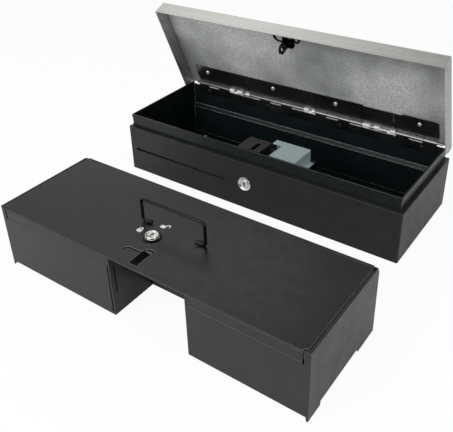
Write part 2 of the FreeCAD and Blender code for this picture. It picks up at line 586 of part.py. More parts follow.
def drawer_lock_plug():
    return on_front(lock_plug(6.5, 2.2, BARREL_BACK + DEPTH / 2, 4.0, CAM_T))


def drawer_lock_nut():
    nut = placed(hexagon(23, 4, LOCK_BARREL_R), (LATCH_X, 0, LOCK_Z), (0, 1, 0))
    nut.translate(V(0, -DEPTH / 2 + LEDGE + SHEET, 0))
    return nut


def drawer_lock_cam():
    """Egg-shaped cam: its long side faces the lever's follower while the lock is open."""
    nose = link((LATCH_X, LOCK_Z), (LATCH_X - 8, LOCK_Z), 4.0, BARREL_BACK, CAM_BACK)
    cam = joined(nose, rod(7.4, (LATCH_X, BARREL_BACK, LOCK_Z), (LATCH_X, CAM_BACK, LOCK_Z)))
    return cam.cut(rod(4.0, (LATCH_X, BARREL_BACK - 1, LOCK_Z), (LATCH_X, CAM_BACK + 1, LOCK_Z)))


def drawer_cam_screw():
    return screw(4.6, 1.5, 1.5, 6.0, (LATCH_X, CAM_BACK, LOCK_Z), (0, 1, 0))


# ---------------------------------------------------------------- till case

def till(shape):
    """Moves a shape from the till's own corner to where the till stands."""
    shape.translate(V(TILL_X, TILL_Y, 0))
    return shape


def cover_spans(turn):
    """Turns of the cover's hinge: five knuckles for the case and four for the cover."""
    start, count = 6.0, 9
    pitch = (TILL_W - 2 * start) / count
    return [(start + i * pitch, start + (i + 1) * pitch) for i in range(count) if i % 2 == turn]


def cover_knuckles(turn):
    return [rod(COVER_KNUCKLE_R, (a + 0.3, COVER_Y, COVER_Z), (b - 0.3, COVER_Y, COVER_Z))
            for a, b in cover_spans(turn)]


def cover_bore():
    return rod(COVER_PIN_R + RUNNING, (0, COVER_Y, COVER_Z), (TILL_W, COVER_Y, COVER_Z))


def case_fronts():
    """The two fronts: set back a little in a band along the top, and folded over at the outer corners."""
    t, w, low, band = TILL_T, TILL_W, TILL_FOOT, CASE_TOP - BAND_H
    post = [(0, 0), (2.2, 0), (3.2, low + 4), (CORNER_W, low + 4), (CORNER_W, TILL_H), (0, TILL_H)]
    left = joined(through(post, 0, t), block(0, CORNER_W, 0, CORNER_FOLD, TILL_H - t, TILL_H))
    front_edges = [e for e in left.Edges if e.BoundBox.YMax < 0.01]
    bends = [e for e in front_edges if e.BoundBox.XMax < 0.01 or e.BoundBox.ZMin > TILL_H - 0.01]
    left = left.makeFillet(0.6, bends)
    corners = [left, left.mirror(V(w / 2, 0, 0), V(1, 0, 0))]
    panels = [block(a, b, v, v + t, z0, z1) for a, b in ((SHELL_T, NOTCH_L), (NOTCH_R, w - SHELL_T))
              for v, z0, z1 in ((0, low, band), (BAND_STEP, band - t, CASE_TOP))]
    return corners + panels


def case_walls():
    """Fronts, notch walls and back wall; the fronts stop short for the cover's lip."""
    t, w, d, low, edge = TILL_T, TILL_W, TILL_D, TILL_FOOT, SHELL_T
    high = COVER_UNDER - SEAM
    return [*case_fronts(),
            block(NOTCH_L - t, NOTCH_L, 0, NOTCH_D + t, low, high),
            block(NOTCH_R, NOTCH_R + t, 0, NOTCH_D + t, low, high),
            block(NOTCH_L - t, NOTCH_R + t, NOTCH_D, NOTCH_D + t, low, high),
            block(edge, w - edge, d - t, d, low, COVER_Z)]


def case_floor():
    t, w, d, low, edge = TILL_T, TILL_W, TILL_D, TILL_FOOT, SHELL_T
    return [block(edge, NOTCH_L, t, d, low, low + t), block(NOTCH_R, w - edge, t, d, low, low + t),
            block(NOTCH_L - t, NOTCH_R + t, NOTCH_D, d, low, low + t)]


def case_ledges():
    """Stepped stiffeners inside the fronts, which carry the cover's front edge."""
    t, high = TILL_T, COVER_UNDER - SEAM
    face = t + BAND_STEP
    step = [(face, CASE_TOP - 8), (face + t, CASE_TOP - 8), (face + t, high - t), (9, high - t), (9, high),
            (face + SEAM, high), (face + SEAM, CASE_TOP - 1), (face, CASE_TOP - 1)]
    return [across(step, SHELL_T, NOTCH_L - t), across(step, NOTCH_R + t, TILL_W - SHELL_T)]


def till_case():
    """U-shaped folded case, with relief slits at its front corners and a slot for the lock's cam."""
    t, w, low = TILL_T, TILL_W, TILL_FOOT
    slits = [block(u, u + SLIT_W, -1, t + BAND_STEP, CASE_TOP - SLIT_H, CASE_TOP + 1)
             for u in (CORNER_W, w - CORNER_W - SLIT_W)]
    slits.append(block(NOTCH_L - 4, NOTCH_L - 2, -1, t + BAND_STEP, low + 3, CASE_TOP - 10))
    wall_slot = block(NOTCH_L - t - 1, NOTCH_L + 1, 6.4, 8.4, 36, 76)
    lip_room = block(CORNER_W, w - CORNER_W, -1, t + SEAM, CASE_TOP, COVER_UNDER)
    cam_middle = TILL_H - TILL_BARREL_DROP - CAM_T / 2
    cam_slot = block(TILL_LOCK_U - 14, TILL_LOCK_U + 6, NOTCH_D - 1, NOTCH_D + t + 1,
                     cam_middle - CAM_SLOT_HIGH / 2, cam_middle + CAM_SLOT_HIGH / 2)
    gaps = [block(a - 0.2, b + 0.2, TILL_D - 3, TILL_D + 1, COVER_Z - COVER_KNUCKLE_R - 0.4, COVER_Z + 1)
            for a, b in cover_spans(1)]
    case = joined(*case_floor(), *case_walls(), *case_ledges())
    case = cut_all(case, slits + gaps + [wall_slot, cam_slot, lip_room])
    return till(joined(case, *cover_knuckles(0)).cut(cover_bore()))


def end_panel():
    """Left end: a wall on two feet, with a narrow rail and a stepped-down ledge for the cover."""
    t, d, h, start = TILL_T, TILL_D, TILL_H, CORNER_FOLD + 0.1
    wall = across([(t, 0), (FRONT_FOOT, 0), (FRONT_FOOT + 1, TILL_FOOT), (REAR_FOOT - 1, TILL_FOOT),
                   (REAR_FOOT, 0), (d, 0), (d, COVER_Z - 4), (d - 4, h), (start, h), (start, h - t - 0.1),
                   (t, h - t - 0.1)], 0, SHELL_T)
    rail = block(0, RAIL, start, d - 9, h - t, h)
    riser = block(RAIL - t, RAIL, 10, d - 9, COVER_UNDER - SEAM - t, h)
    ledge = block(RAIL - t, COVER_EDGE + 4, 10, d - 9, COVER_UNDER - SEAM - t, COVER_UNDER - SEAM)
    tab = block(0, 8, d - 2 * t, d - t, 0, TILL_FOOT - SEAM)
    panel = joined(wall, rail, riser, ledge, tab)
    fold = [e for e in panel.Edges if e.BoundBox.ZMin > h - 0.01 and e.BoundBox.XMax < 0.01]
    return panel.makeFillet(0.7, fold)


def till_left_end():
    return till(end_panel())


def till_right_end():
    return till(end_panel().mirror(V(TILL_W / 2, 0, 0), V(1, 0, 0)))


def till_hinge_pin():
    return till(rod(COVER_PIN_R, (SHELL_T, COVER_Y, COVER_Z), (TILL_W - SHELL_T, COVER_Y, COVER_Z)))


def note_dividers():
    """Sheet plates with sloped corners and a spot-welded foot, two in front and two behind."""
    low, back, slope = TILL_FOOT + TILL_T, TILL_D - TILL_T, 12.0
    plates = []
    for u, front, foot in ((63.0, 2 * TILL_T, 1), (125.0, 2 * TILL_T, 1),
                           (NOTCH_L + 1, NOTCH_D + TILL_T, -1), (NOTCH_R - 2, NOTCH_D + TILL_T, -1)):
        outline = [(front, low), (back, low), (back, DIVIDER_TOP - slope), (back - slope, DIVIDER_TOP),
                   (front + slope, DIVIDER_TOP), (front, DIVIDER_TOP - slope)]
        edges = sorted((u + (foot > 0), u + (foot > 0) + foot * 8.0))
        foot_plate = block(edges[0], edges[1], front + 10, back - 10, low, low + 1)
        plates.append(till(joined(across(outline, u, u + 1), foot_plate)))
    return plates


def coin_well(u, v, width, length, thicker, top):
    """A scooped well, or the same with its wall added."""
    scoop = length / 2
    middle = TILL_FOOT + TILL_T + COIN_T + scoop
    start, end = u - thicker, u + width + thicker
    bowl = rod(scoop + thicker, (start, v + scoop, middle), (end, v + scoop, middle))
    return bowl.fuse(block(start, end, v - thicker, v + length + thicker, middle, top))


def coin_tray():
    """Thin-walled moulded coin tray, open below: two columns of four scooped wells."""
    low, front, back, gap = TILL_FOOT + TILL_T, 4.0, TILL_D - 3.0, 4.0
    columns, rows = 2, 4
    width = (COIN_R - COIN_L - gap * (columns + 1)) / columns
    length = (back - front - gap * (rows + 1)) / rows
    places = [(COIN_L + gap + i * (width + gap), front + gap + j * (length + gap))
              for i in range(columns) for j in range(rows)]
    body = rounded_plate(COIN_L, COIN_R, front, back, low, COIN_TOP, 2.0)
    under = block(COIN_L + COIN_T, COIN_R - COIN_T, front + COIN_T, back - COIN_T, low, COIN_TOP - COIN_T)
    under = cut_all(under, [coin_well(u, v, width, length, COIN_T, COIN_TOP) for u, v in places])
    wells = [coin_well(u, v, width, length, 0, COIN_TOP + 1) for u, v in places]
    return till(cut_all(body, wells + [under]))


# ---------------------------------------------------------------- till cover, lock and handle

def saddle_places():
    reach = HANDLE_SPAN / 2 - SADDLE_IN
    return [HANDLE_U - reach, HANDLE_U + reach]


def saddle_rivet_points():
    return [(u, HANDLE_V + dv) for u in saddle_places() for dv in (-SADDLE_RIVET, SADDLE_RIVET)]


def stroke(points, width, low, high):
    """A round-ended groove that follows a line of points over the cover."""
    pieces = []
    for (u0, v0), (u1, v1) in zip(points, points[1:]):
        length = math.hypot(u1 - u0, v1 - v0)
        bar = block(0, length, -width / 2, width / 2, low, high)
        bar.rotate(V(0, 0, 0), V(0, 0, 1), math.degrees(math.atan2(v1 - v0, u1 - u0)))
        bar.translate(V(u0, v0, 0))
        pieces += [bar, rod(width / 2, (u1, v1, low), (u1, v1, high))]
    return joined(*pieces)


def striker_cuts():
    """The slot that the lid's striker goes through, and the two curved arms pierced beside it."""
    low, high = COVER_UNDER - 1, TILL_H + 1
    left = [(215, 29), (209, 26.6), (202, 26.2), (196, 26.6), (192.6, 24.6), (191.6, 20)]
    right = [(214, 30), (216, 34), (219, 35.4), (222, 35.4), (226, 34)]
    arms = [stroke(points, ARM_W, low, high) for points in (left, right)]
    return [block(213, 225, 6, 31, low, high)] + arms


def till_cover():
    """Flat cover with a small front lip, a slot for the striker and knuckles at the back."""
    u0, u1, h, low, high = COVER_EDGE, TILL_W - COVER_EDGE, TILL_H, COVER_UNDER - 1, TILL_H + 1
    lip_u = CORNER_W + SLIT_W
    lip = block(lip_u, TILL_W - lip_u, 0, TILL_T, h - 2.4, h)
    sheet = joined(block(u0, u1, 0, COVER_Y, COVER_UNDER, h), lip)
    fold = [e for e in sheet.Edges if e.BoundBox.ZMin > h - 0.01 and e.BoundBox.YMax < 0.01]
    sheet = sheet.makeFillet(0.8, fold)
    lock_hole = rod(TILL_BARREL_R + 0.05, (TILL_LOCK_U, TILL_LOCK_V, low), (TILL_LOCK_U, TILL_LOCK_V, high))
    rivet_holes = [rod(SADDLE_RIVET_R, (u, v, low), (u, v, high)) for u, v in saddle_rivet_points()]
    clear_v = COVER_Y - COVER_KNUCKLE_R - 0.4
    gaps = [block(a - 0.2, b + 0.2, clear_v, TILL_D, low, high) for a, b in cover_spans(0)]
    corners = [block(a, b, clear_v, TILL_D, low, high) for a, b in ((u0 - 1, 6.2), (TILL_W - 6.2, u1 + 1))]
    corners += [block(a, b, -1, CORNER_FOLD + 1.2, low, high)
                for a, b in ((u0 - 1, lip_u), (TILL_W - lip_u, u1 + 1))]
    plate = cut_all(sheet, striker_cuts() + [lock_hole] + rivet_holes + gaps + corners)
    return till(joined(plate, *cover_knuckles(1)).cut(cover_bore()))


def on_cover(shape):
    """Stands a lock piece built along +Z on the till's cover."""
    shape.translate(V(TILL_LOCK_U, TILL_LOCK_V, TILL_H))
    return till(shape)


def till_lock_body():
    return on_cover(lock_body(collared_head(11.6, 8.0, 4.6), TILL_BARREL_R, 6.0, TILL_BARREL_DROP))


def till_lock_plug():
    return on_cover(lock_plug(6.0, 4.0, TILL_BARREL_DROP, 3.5, CAM_T))


def till_lock_nut():
    nut = hexagon(20, 2.5, TILL_BARREL_R)
    nut.translate(V(0, 0, COVER_UNDER - TILL_H - 2.5))
    return on_cover(nut)


def till_lock_cam():
    """Flat cam, pointing left when unlocked; a quarter turn sends it through the notch's back wall."""
    arm = rounded_plate(-15.5, 4.5, -4.5, 4.5, 0, CAM_T, 2.0)
    cam = joined(arm, Part.makeCylinder(6.0, CAM_T)).cut(Part.makeCylinder(3.5, CAM_T))
    cam.translate(V(0, 0, -TILL_BARREL_DROP - CAM_T))
    return on_cover(cam)


def till_cam_screw():
    return on_cover(screw(4.0, 1.5, 1.5, 6.0, (0, 0, -TILL_BARREL_DROP - CAM_T), (0, 0, -1)))


def handle_saddles():
    """Two riveted saddles that hold the handle's feet."""
    inner = WIRE_R + RUNNING
    outer, h = inner + SADDLE_T, TILL_H
    saddles = []
    for u in saddle_places():
        u0, u1, v, z = u - SADDLE_HALF, u + SADDLE_HALF, HANDLE_V, HANDLE_Z
        arch = rod(outer, (u0, v, z), (u1, v, z)).fuse(block(u0, u1, v - outer, v + outer, h, z))
        feet = rounded_plate(u0, u1, v - SADDLE_FOOT, v + SADDLE_FOOT, h, h + SADDLE_T, 1.2)
        hollow = rod(inner, (u0, v, z), (u1, v, z)).fuse(block(u0, u1, v - inner, v + inner, h, z))
        below = block(u0, u1, v - outer, v + outer, h - 3, h)
        holes = [rod(SADDLE_RIVET_R, (u, v + dv, h - 1), (u, v + dv, h + 4))
                 for dv in (-SADDLE_RIVET, SADDLE_RIVET)]
        saddles.append(till(cut_all(joined(arch, feet), [hollow, below] + holes)))
    return saddles


def saddle_rivets():
    shank = SADDLE_T + TILL_T + 0.5
    return [till(screw(1.5, 0.8, SADDLE_RIVET_R, shank, (u, v, TILL_H + SADDLE_T), (0, 0, 1)))
            for u, v in saddle_rivet_points()]


def till_handle():
    """Wire bail, bent from one rod: two feet, two legs and a bar, with round bends."""
    half, foot = HANDLE_SPAN / 2, 14.0
    corners = [(-half + foot, 0), (-half, 0), (-half, HANDLE_RISE), (half, HANDLE_RISE), (half, 0),
               (half - foot, 0)]
    bends = [2.6, 4.5, 4.5, 2.6]
    at = [V(HANDLE_U + x, HANDLE_V, HANDLE_Z + z) for x, z in corners]
    edges, last = [], at[0]
    for i, radius in enumerate(bends, start=1):
        before, after = (at[i] - at[i - 1]).normalize(), (at[i + 1] - at[i]).normalize()
        start, end = at[i] - before * radius, at[i] + after * radius
        middle = at[i] + (after - before) * (radius * (1 - math.sqrt(0.5)))
        edges += [Part.LineSegment(last, start).toShape(), Part.Arc(start, middle, end).toShape()]
        last = end
    edges.append(Part.LineSegment(last, at[-1]).toShape())
    section = Part.Wire(Part.Circle(at[0], V(1, 0, 0), WIRE_R).toShape())
    return till(Part.Wire(edges).makePipeShell([section], True, False))


# ---------------------------------------------------------------- build

PIECES = [outer_shell, base_plate, inner_rim, back_panel, cable_grommet, lid_panel, hinge_body_leaf,
          hinge_lid_leaf, hinge_pin, lid_striker, mechanism_frame, latch_cover, solenoid_bracket,
          latch_lever, lever_pin, solenoid_frame, solenoid_coil, solenoid_plunger, plunger_pin,
          plunger_spring, drawer_lock_body, drawer_lock_plug, drawer_lock_nut, drawer_lock_cam,
          drawer_cam_screw, till_case, till_left_end, till_right_end, till_hinge_pin, coin_tray,
          till_cover, till_lock_body, till_lock_plug, till_lock_nut, till_lock_cam, till_cam_screw,
          till_handle]
GROUPS = [fixing_washers, lid_springs, lid_screws, leaf_rivets, striker_rivets, mechanism_screws,
          note_dividers, handle_saddles, saddle_rivets]


def main():
    os.makedirs("parts", exist_ok=True)
    for make in PIECES:
        save(make.__name__, make())
    for make in GROUPS:
        save(make.__name__, *make())


main()
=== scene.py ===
"""Finishes and fine detail of a flip-top cash drawer, dressed on its fixed frame.

The drawer stands with its stainless lid open and its U-shaped till on the counter in front.
Every sub-assembly is a class: it gives each framed piece its finish, and adds the springs, screw
heads and printed marks that are too fine for the frame. Lengths are in millimetres until a mesh
is made, and in metres after.
"""

import logging
import math
from dataclasses import dataclass, replace
from enum import Enum
from typing import Sequence

import bmesh
import bpy
from mathutils import Matrix, Vector


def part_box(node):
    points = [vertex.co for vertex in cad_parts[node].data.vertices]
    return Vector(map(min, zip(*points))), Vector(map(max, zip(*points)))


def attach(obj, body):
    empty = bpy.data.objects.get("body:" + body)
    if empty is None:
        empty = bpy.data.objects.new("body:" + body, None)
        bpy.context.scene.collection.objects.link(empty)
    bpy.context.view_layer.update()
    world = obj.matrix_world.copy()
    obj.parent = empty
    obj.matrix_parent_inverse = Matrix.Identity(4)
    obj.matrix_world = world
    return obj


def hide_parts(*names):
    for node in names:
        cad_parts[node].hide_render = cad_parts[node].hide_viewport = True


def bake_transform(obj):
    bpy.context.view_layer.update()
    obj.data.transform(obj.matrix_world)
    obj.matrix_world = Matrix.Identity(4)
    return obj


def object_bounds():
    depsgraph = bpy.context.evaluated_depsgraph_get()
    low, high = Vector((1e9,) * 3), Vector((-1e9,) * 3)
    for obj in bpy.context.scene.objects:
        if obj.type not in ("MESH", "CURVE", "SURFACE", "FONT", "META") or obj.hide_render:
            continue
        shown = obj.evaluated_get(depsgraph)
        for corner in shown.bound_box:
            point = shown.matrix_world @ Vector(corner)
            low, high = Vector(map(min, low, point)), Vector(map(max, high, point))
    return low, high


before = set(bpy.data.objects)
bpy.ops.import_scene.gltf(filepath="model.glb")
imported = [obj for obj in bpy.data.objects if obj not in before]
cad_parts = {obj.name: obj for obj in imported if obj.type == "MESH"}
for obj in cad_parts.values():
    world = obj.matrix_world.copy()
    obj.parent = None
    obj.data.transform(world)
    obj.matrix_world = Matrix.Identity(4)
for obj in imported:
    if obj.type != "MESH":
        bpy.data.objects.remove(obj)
FRAME_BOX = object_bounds()

MM = 0.001
LOG = logging.getLogger("cash_drawer")
NOISE_LOW, NOISE_HIGH = 0.3, 0.7  # the values between which nearly all of Blender's noise falls
BEVEL_RAYS = 6
WAVE_PERIOD = 0.314  # the length of one wave of Blender's wave texture at a scale of 1
COLOUR_A, COLOUR_B, COLOUR_OUT = 6, 7, 2  # the colour sockets of Blender's mix node
VALUE_A, VALUE_B = 2, 3  # its number sockets
SHARP_EDGE = math.radians(35)
LID_OPEN = math.radians(67.0)
Colour = tuple[float, float, float, float]
Span = tuple[float, float]


# ---------------------------------------------------------------- colour and nodes

def linear(hex_value: str) -> Colour:
    """Turns an sRGB hex value into linear light.

    Args:
        hex_value: a colour such as "#2b2c2c".

    Returns:
        Red, green, blue and an alpha of 1.
    """
    channels = [int(hex_value[i:i + 2], 16) / 255 for i in (1, 3, 5)]
    curve = [c / 12.92 if c <= 0.04045 else ((c + 0.055) / 1.055) ** 2.4 for c in channels]
    return (curve[0], curve[1], curve[2], 1.0)


def add_node(tree: bpy.types.NodeTree, kind: str, settings: dict | None = None,
             links: dict | None = None) -> bpy.types.Node:
    """Adds a node with its settings and links.

    Args:
        tree: the node tree that gets the node.
        kind: the node's type name.
        settings: values by socket name, socket number or property name.
        links: the sockets that feed the node, by input name or number.

    Returns:
        The new node.
    """
    node = tree.nodes.new(kind)
    for key, value in (settings or {}).items():
        if isinstance(key, int) or key in node.inputs:
            node.inputs[key].default_value = value
        else:
            setattr(node, key, value)
    for key, source in (links or {}).items():
        tree.links.new(node.inputs[key], source)
    return node


class Recipe:
    """A material being mixed: its node tree, its shader and the place on the piece in mm."""

    def __init__(self, name: str) -> None:
        """Starts a material with one shader.

        Args:
            name: the finish's name.
        """
        self.material = bpy.data.materials.new(name)
        self.material.use_nodes = True
        self.tree = self.material.node_tree
        self.tree.nodes.clear()
        self.shader = add_node(self.tree, "ShaderNodeBsdfPrincipled")
        add_node(self.tree, "ShaderNodeOutputMaterial", links={"Surface": self.shader.outputs[0]})
        where = add_node(self.tree, "ShaderNodeTexCoord")
        self.place = self.add("ShaderNodeVectorMath", {"operation": "SCALE", "Scale": 1 / MM},
                              {0: where.outputs["Object"]}).outputs[0]

    def add(self, kind: str, settings: dict | None = None, links: dict | None = None) -> bpy.types.Node:
        """Adds a node to this recipe."""
        return add_node(self.tree, kind, settings, links)

    def feed(self, socket: str, source: bpy.types.NodeSocket) -> None:
        """Links a pattern to one of the shader's inputs."""
        self.tree.links.new(self.shader.inputs[socket], source)

    def grain(self, size: Sequence[float], low: float, high: float, detail: float = 2.0,
              turn: float = 0.0, shift: float = 0.0) -> bpy.types.NodeSocket:
        """A cloudy pattern of a real size.

        Args:
            size: the pattern's size in mm along X, Y and Z.
            low: the value in its hollows.
            high: the value on its crests.
            detail: how many finer layers it has.
            turn: how far it is turned about X, in radians.
            shift: how far it is moved along X, in mm.

        Returns:
            The socket with the pattern's value.
        """
        mapped = self.add("ShaderNodeMapping",
                          {"vector_type": "TEXTURE", "Rotation": (turn, 0, 0), "Location": (shift, 0, 0),
                           "Scale": tuple(size)}, {"Vector": self.place})
        noise = self.add("ShaderNodeTexNoise", {"Scale": 1.0, "Detail": detail},
                         {"Vector": mapped.outputs[0]})
        ranged = self.add("ShaderNodeMapRange", {"From Min": NOISE_LOW, "From Max": NOISE_HIGH,
                                                 "To Min": low, "To Max": high},
                          {"Value": noise.outputs[0]})
        return ranged.outputs[0]

    def cloud(self, size: float, low: float = 0.0, high: float = 1.0,
              detail: float = 2.0) -> bpy.types.NodeSocket:
        """A cloudy pattern as coarse one way as another, its size in mm."""
        return self.grain((size, size, size), low, high, detail)

    def dapple(self, size: float, first: str, second: str, detail: float = 2.0) -> None:
        """Colours the surface in clouds of two colours.

        Args:
            size: the clouds' size in mm.
            first: the hex value in their hollows.
            second: the hex value on their crests.
            detail: how many finer layers they have.
        """
        mixed = self.add("ShaderNodeMix", {"data_type": "RGBA", COLOUR_A: linear(first),
                                           COLOUR_B: linear(second)}, {0: self.cloud(size, detail=detail)})
        self.feed("Base Color", mixed.outputs[COLOUR_OUT])

    def cover(self, share: bpy.types.NodeSocket, colour: str) -> None:
        """Lays a colour over the patterned surface.

        Args:
            share: how much of it shows, from 0 to 1.
            colour: its hex value.
        """
        under = self.shader.inputs["Base Color"].links[0].from_socket
        mixed = self.add("ShaderNodeMix", {"data_type": "RGBA", COLOUR_B: linear(colour)},
                         {0: share, COLOUR_A: under})
        self.feed("Base Color", mixed.outputs[COLOUR_OUT])

    def wear_and_highlight_edges(self, width: float, gain: float, colour: str) -> bpy.types.NodeSocket:
        """Rounds every edge to the eye, and colours it along the edge: a painted highlight on coat folds,
        wear on plate, and a painted glint on black nickel.

        Args:
            width: the rounded edge's radius in mm.
            gain: how fast the colour rises towards the edge.
            colour: the hex value along the edge.

        Returns:
            The socket with the rounded direction of the surface.
        """
        soft = self.add("ShaderNodeBevel", {"samples": BEVEL_RAYS, "Radius": width * MM}).outputs[0]
        flat = self.add("ShaderNodeNewGeometry")
        match = self.add("ShaderNodeVectorMath", {"operation": "DOT_PRODUCT"},
                         {0: soft, 1: flat.outputs["True Normal"]})
        edge = self.add("ShaderNodeMapRange", {"From Min": 1.0, "From Max": 1.0 - 1.0 / gain},
                        {"Value": match.outputs["Value"]})
        self.cover(edge.outputs[0], colour)
        return soft

    def emboss(self, height: bpy.types.NodeSocket, depth: float,
               over: bpy.types.NodeSocket | None = None) -> None:
        """Raises the surface by a pattern.

        Args:
            height: the pattern.
            depth: its depth in mm.
            over: the direction of the surface that it is raised on, where that is rounded.
        """
        links = {"Height": height} if over is None else {"Height": height, "Normal": over}
        bump = self.add("ShaderNodeBump", {"Distance": depth * MM, "Strength": 1.0}, links)
        self.feed("Normal", bump.outputs[0])


# ---------------------------------------------------------------- finishes

@dataclass(frozen=True)
class Finish:
    """What every finish has: a name, a colour, a gloss, and the name of a slot."""

    name: str
    slot: str
    colour: str
    roughness: float
    ior: float = 1.5
    glossier: float = 0.05
    duller: float = 0.05

    def start(self, metallic: float = 0.0) -> Recipe:
        """Starts the material with its plain values.

        Args:
            metallic: 1 for bare or plated metal, 0 for paint, plastic and rubber.

        Returns:
            The recipe, ready for patterns.
        """
        recipe = Recipe(self.name)
        recipe.shader.inputs["Base Color"].default_value = linear(self.colour)
        recipe.shader.inputs["Roughness"].default_value = self.roughness
        recipe.shader.inputs["Metallic"].default_value = metallic
        if metallic == 0.0:
            recipe.shader.inputs["IOR"].default_value = self.ior
        return recipe

    def gloss(self, recipe: Recipe, size: float, detail: float = 2.0) -> None:
        """Lets the gloss drift round its middle value, in clouds of a size in mm."""
        recipe.feed("Roughness", recipe.cloud(size, self.roughness - self.glossier,
                                              self.roughness + self.duller, detail))

    def make(self) -> bpy.types.Material:
        """Mixes the material."""
        return self.start().material


@dataclass(frozen=True)
class PowderCoat(Finish):
    """Satin black polyester powder on steel: a fine orange peel, cloudy gloss, and folds painted paler as
    highlights.
    """

    glossier: float = 0.04
    cloud_colour: str = "#1a1b1b"
    fold_highlight_colour: str = "#3c3d3d"
    cloud_mm: float = 26.0
    peel_mm: float = 1.6
    peel_depth_mm: float = 0.012
    fold_mm: float = 0.8
    fold_gain: float = 3.0

    def make(self) -> bpy.types.Material:
        """Mixes the material.

        Returns:
            The material.
        """
        recipe = self.start()
        recipe.dapple(self.cloud_mm, self.colour, self.cloud_colour, detail=3.0)
        # The folds are painted paler than the coat, as highlights.
        soft = recipe.wear_and_highlight_edges(self.fold_mm, self.fold_gain, self.fold_highlight_colour)
        self.gloss(recipe, self.cloud_mm / 2)
        # The peel is about half as coarse on a real coat; it is drawn at the size that still shows.
        recipe.emboss(recipe.cloud(self.peel_mm), self.peel_depth_mm, over=soft)
        return recipe.material


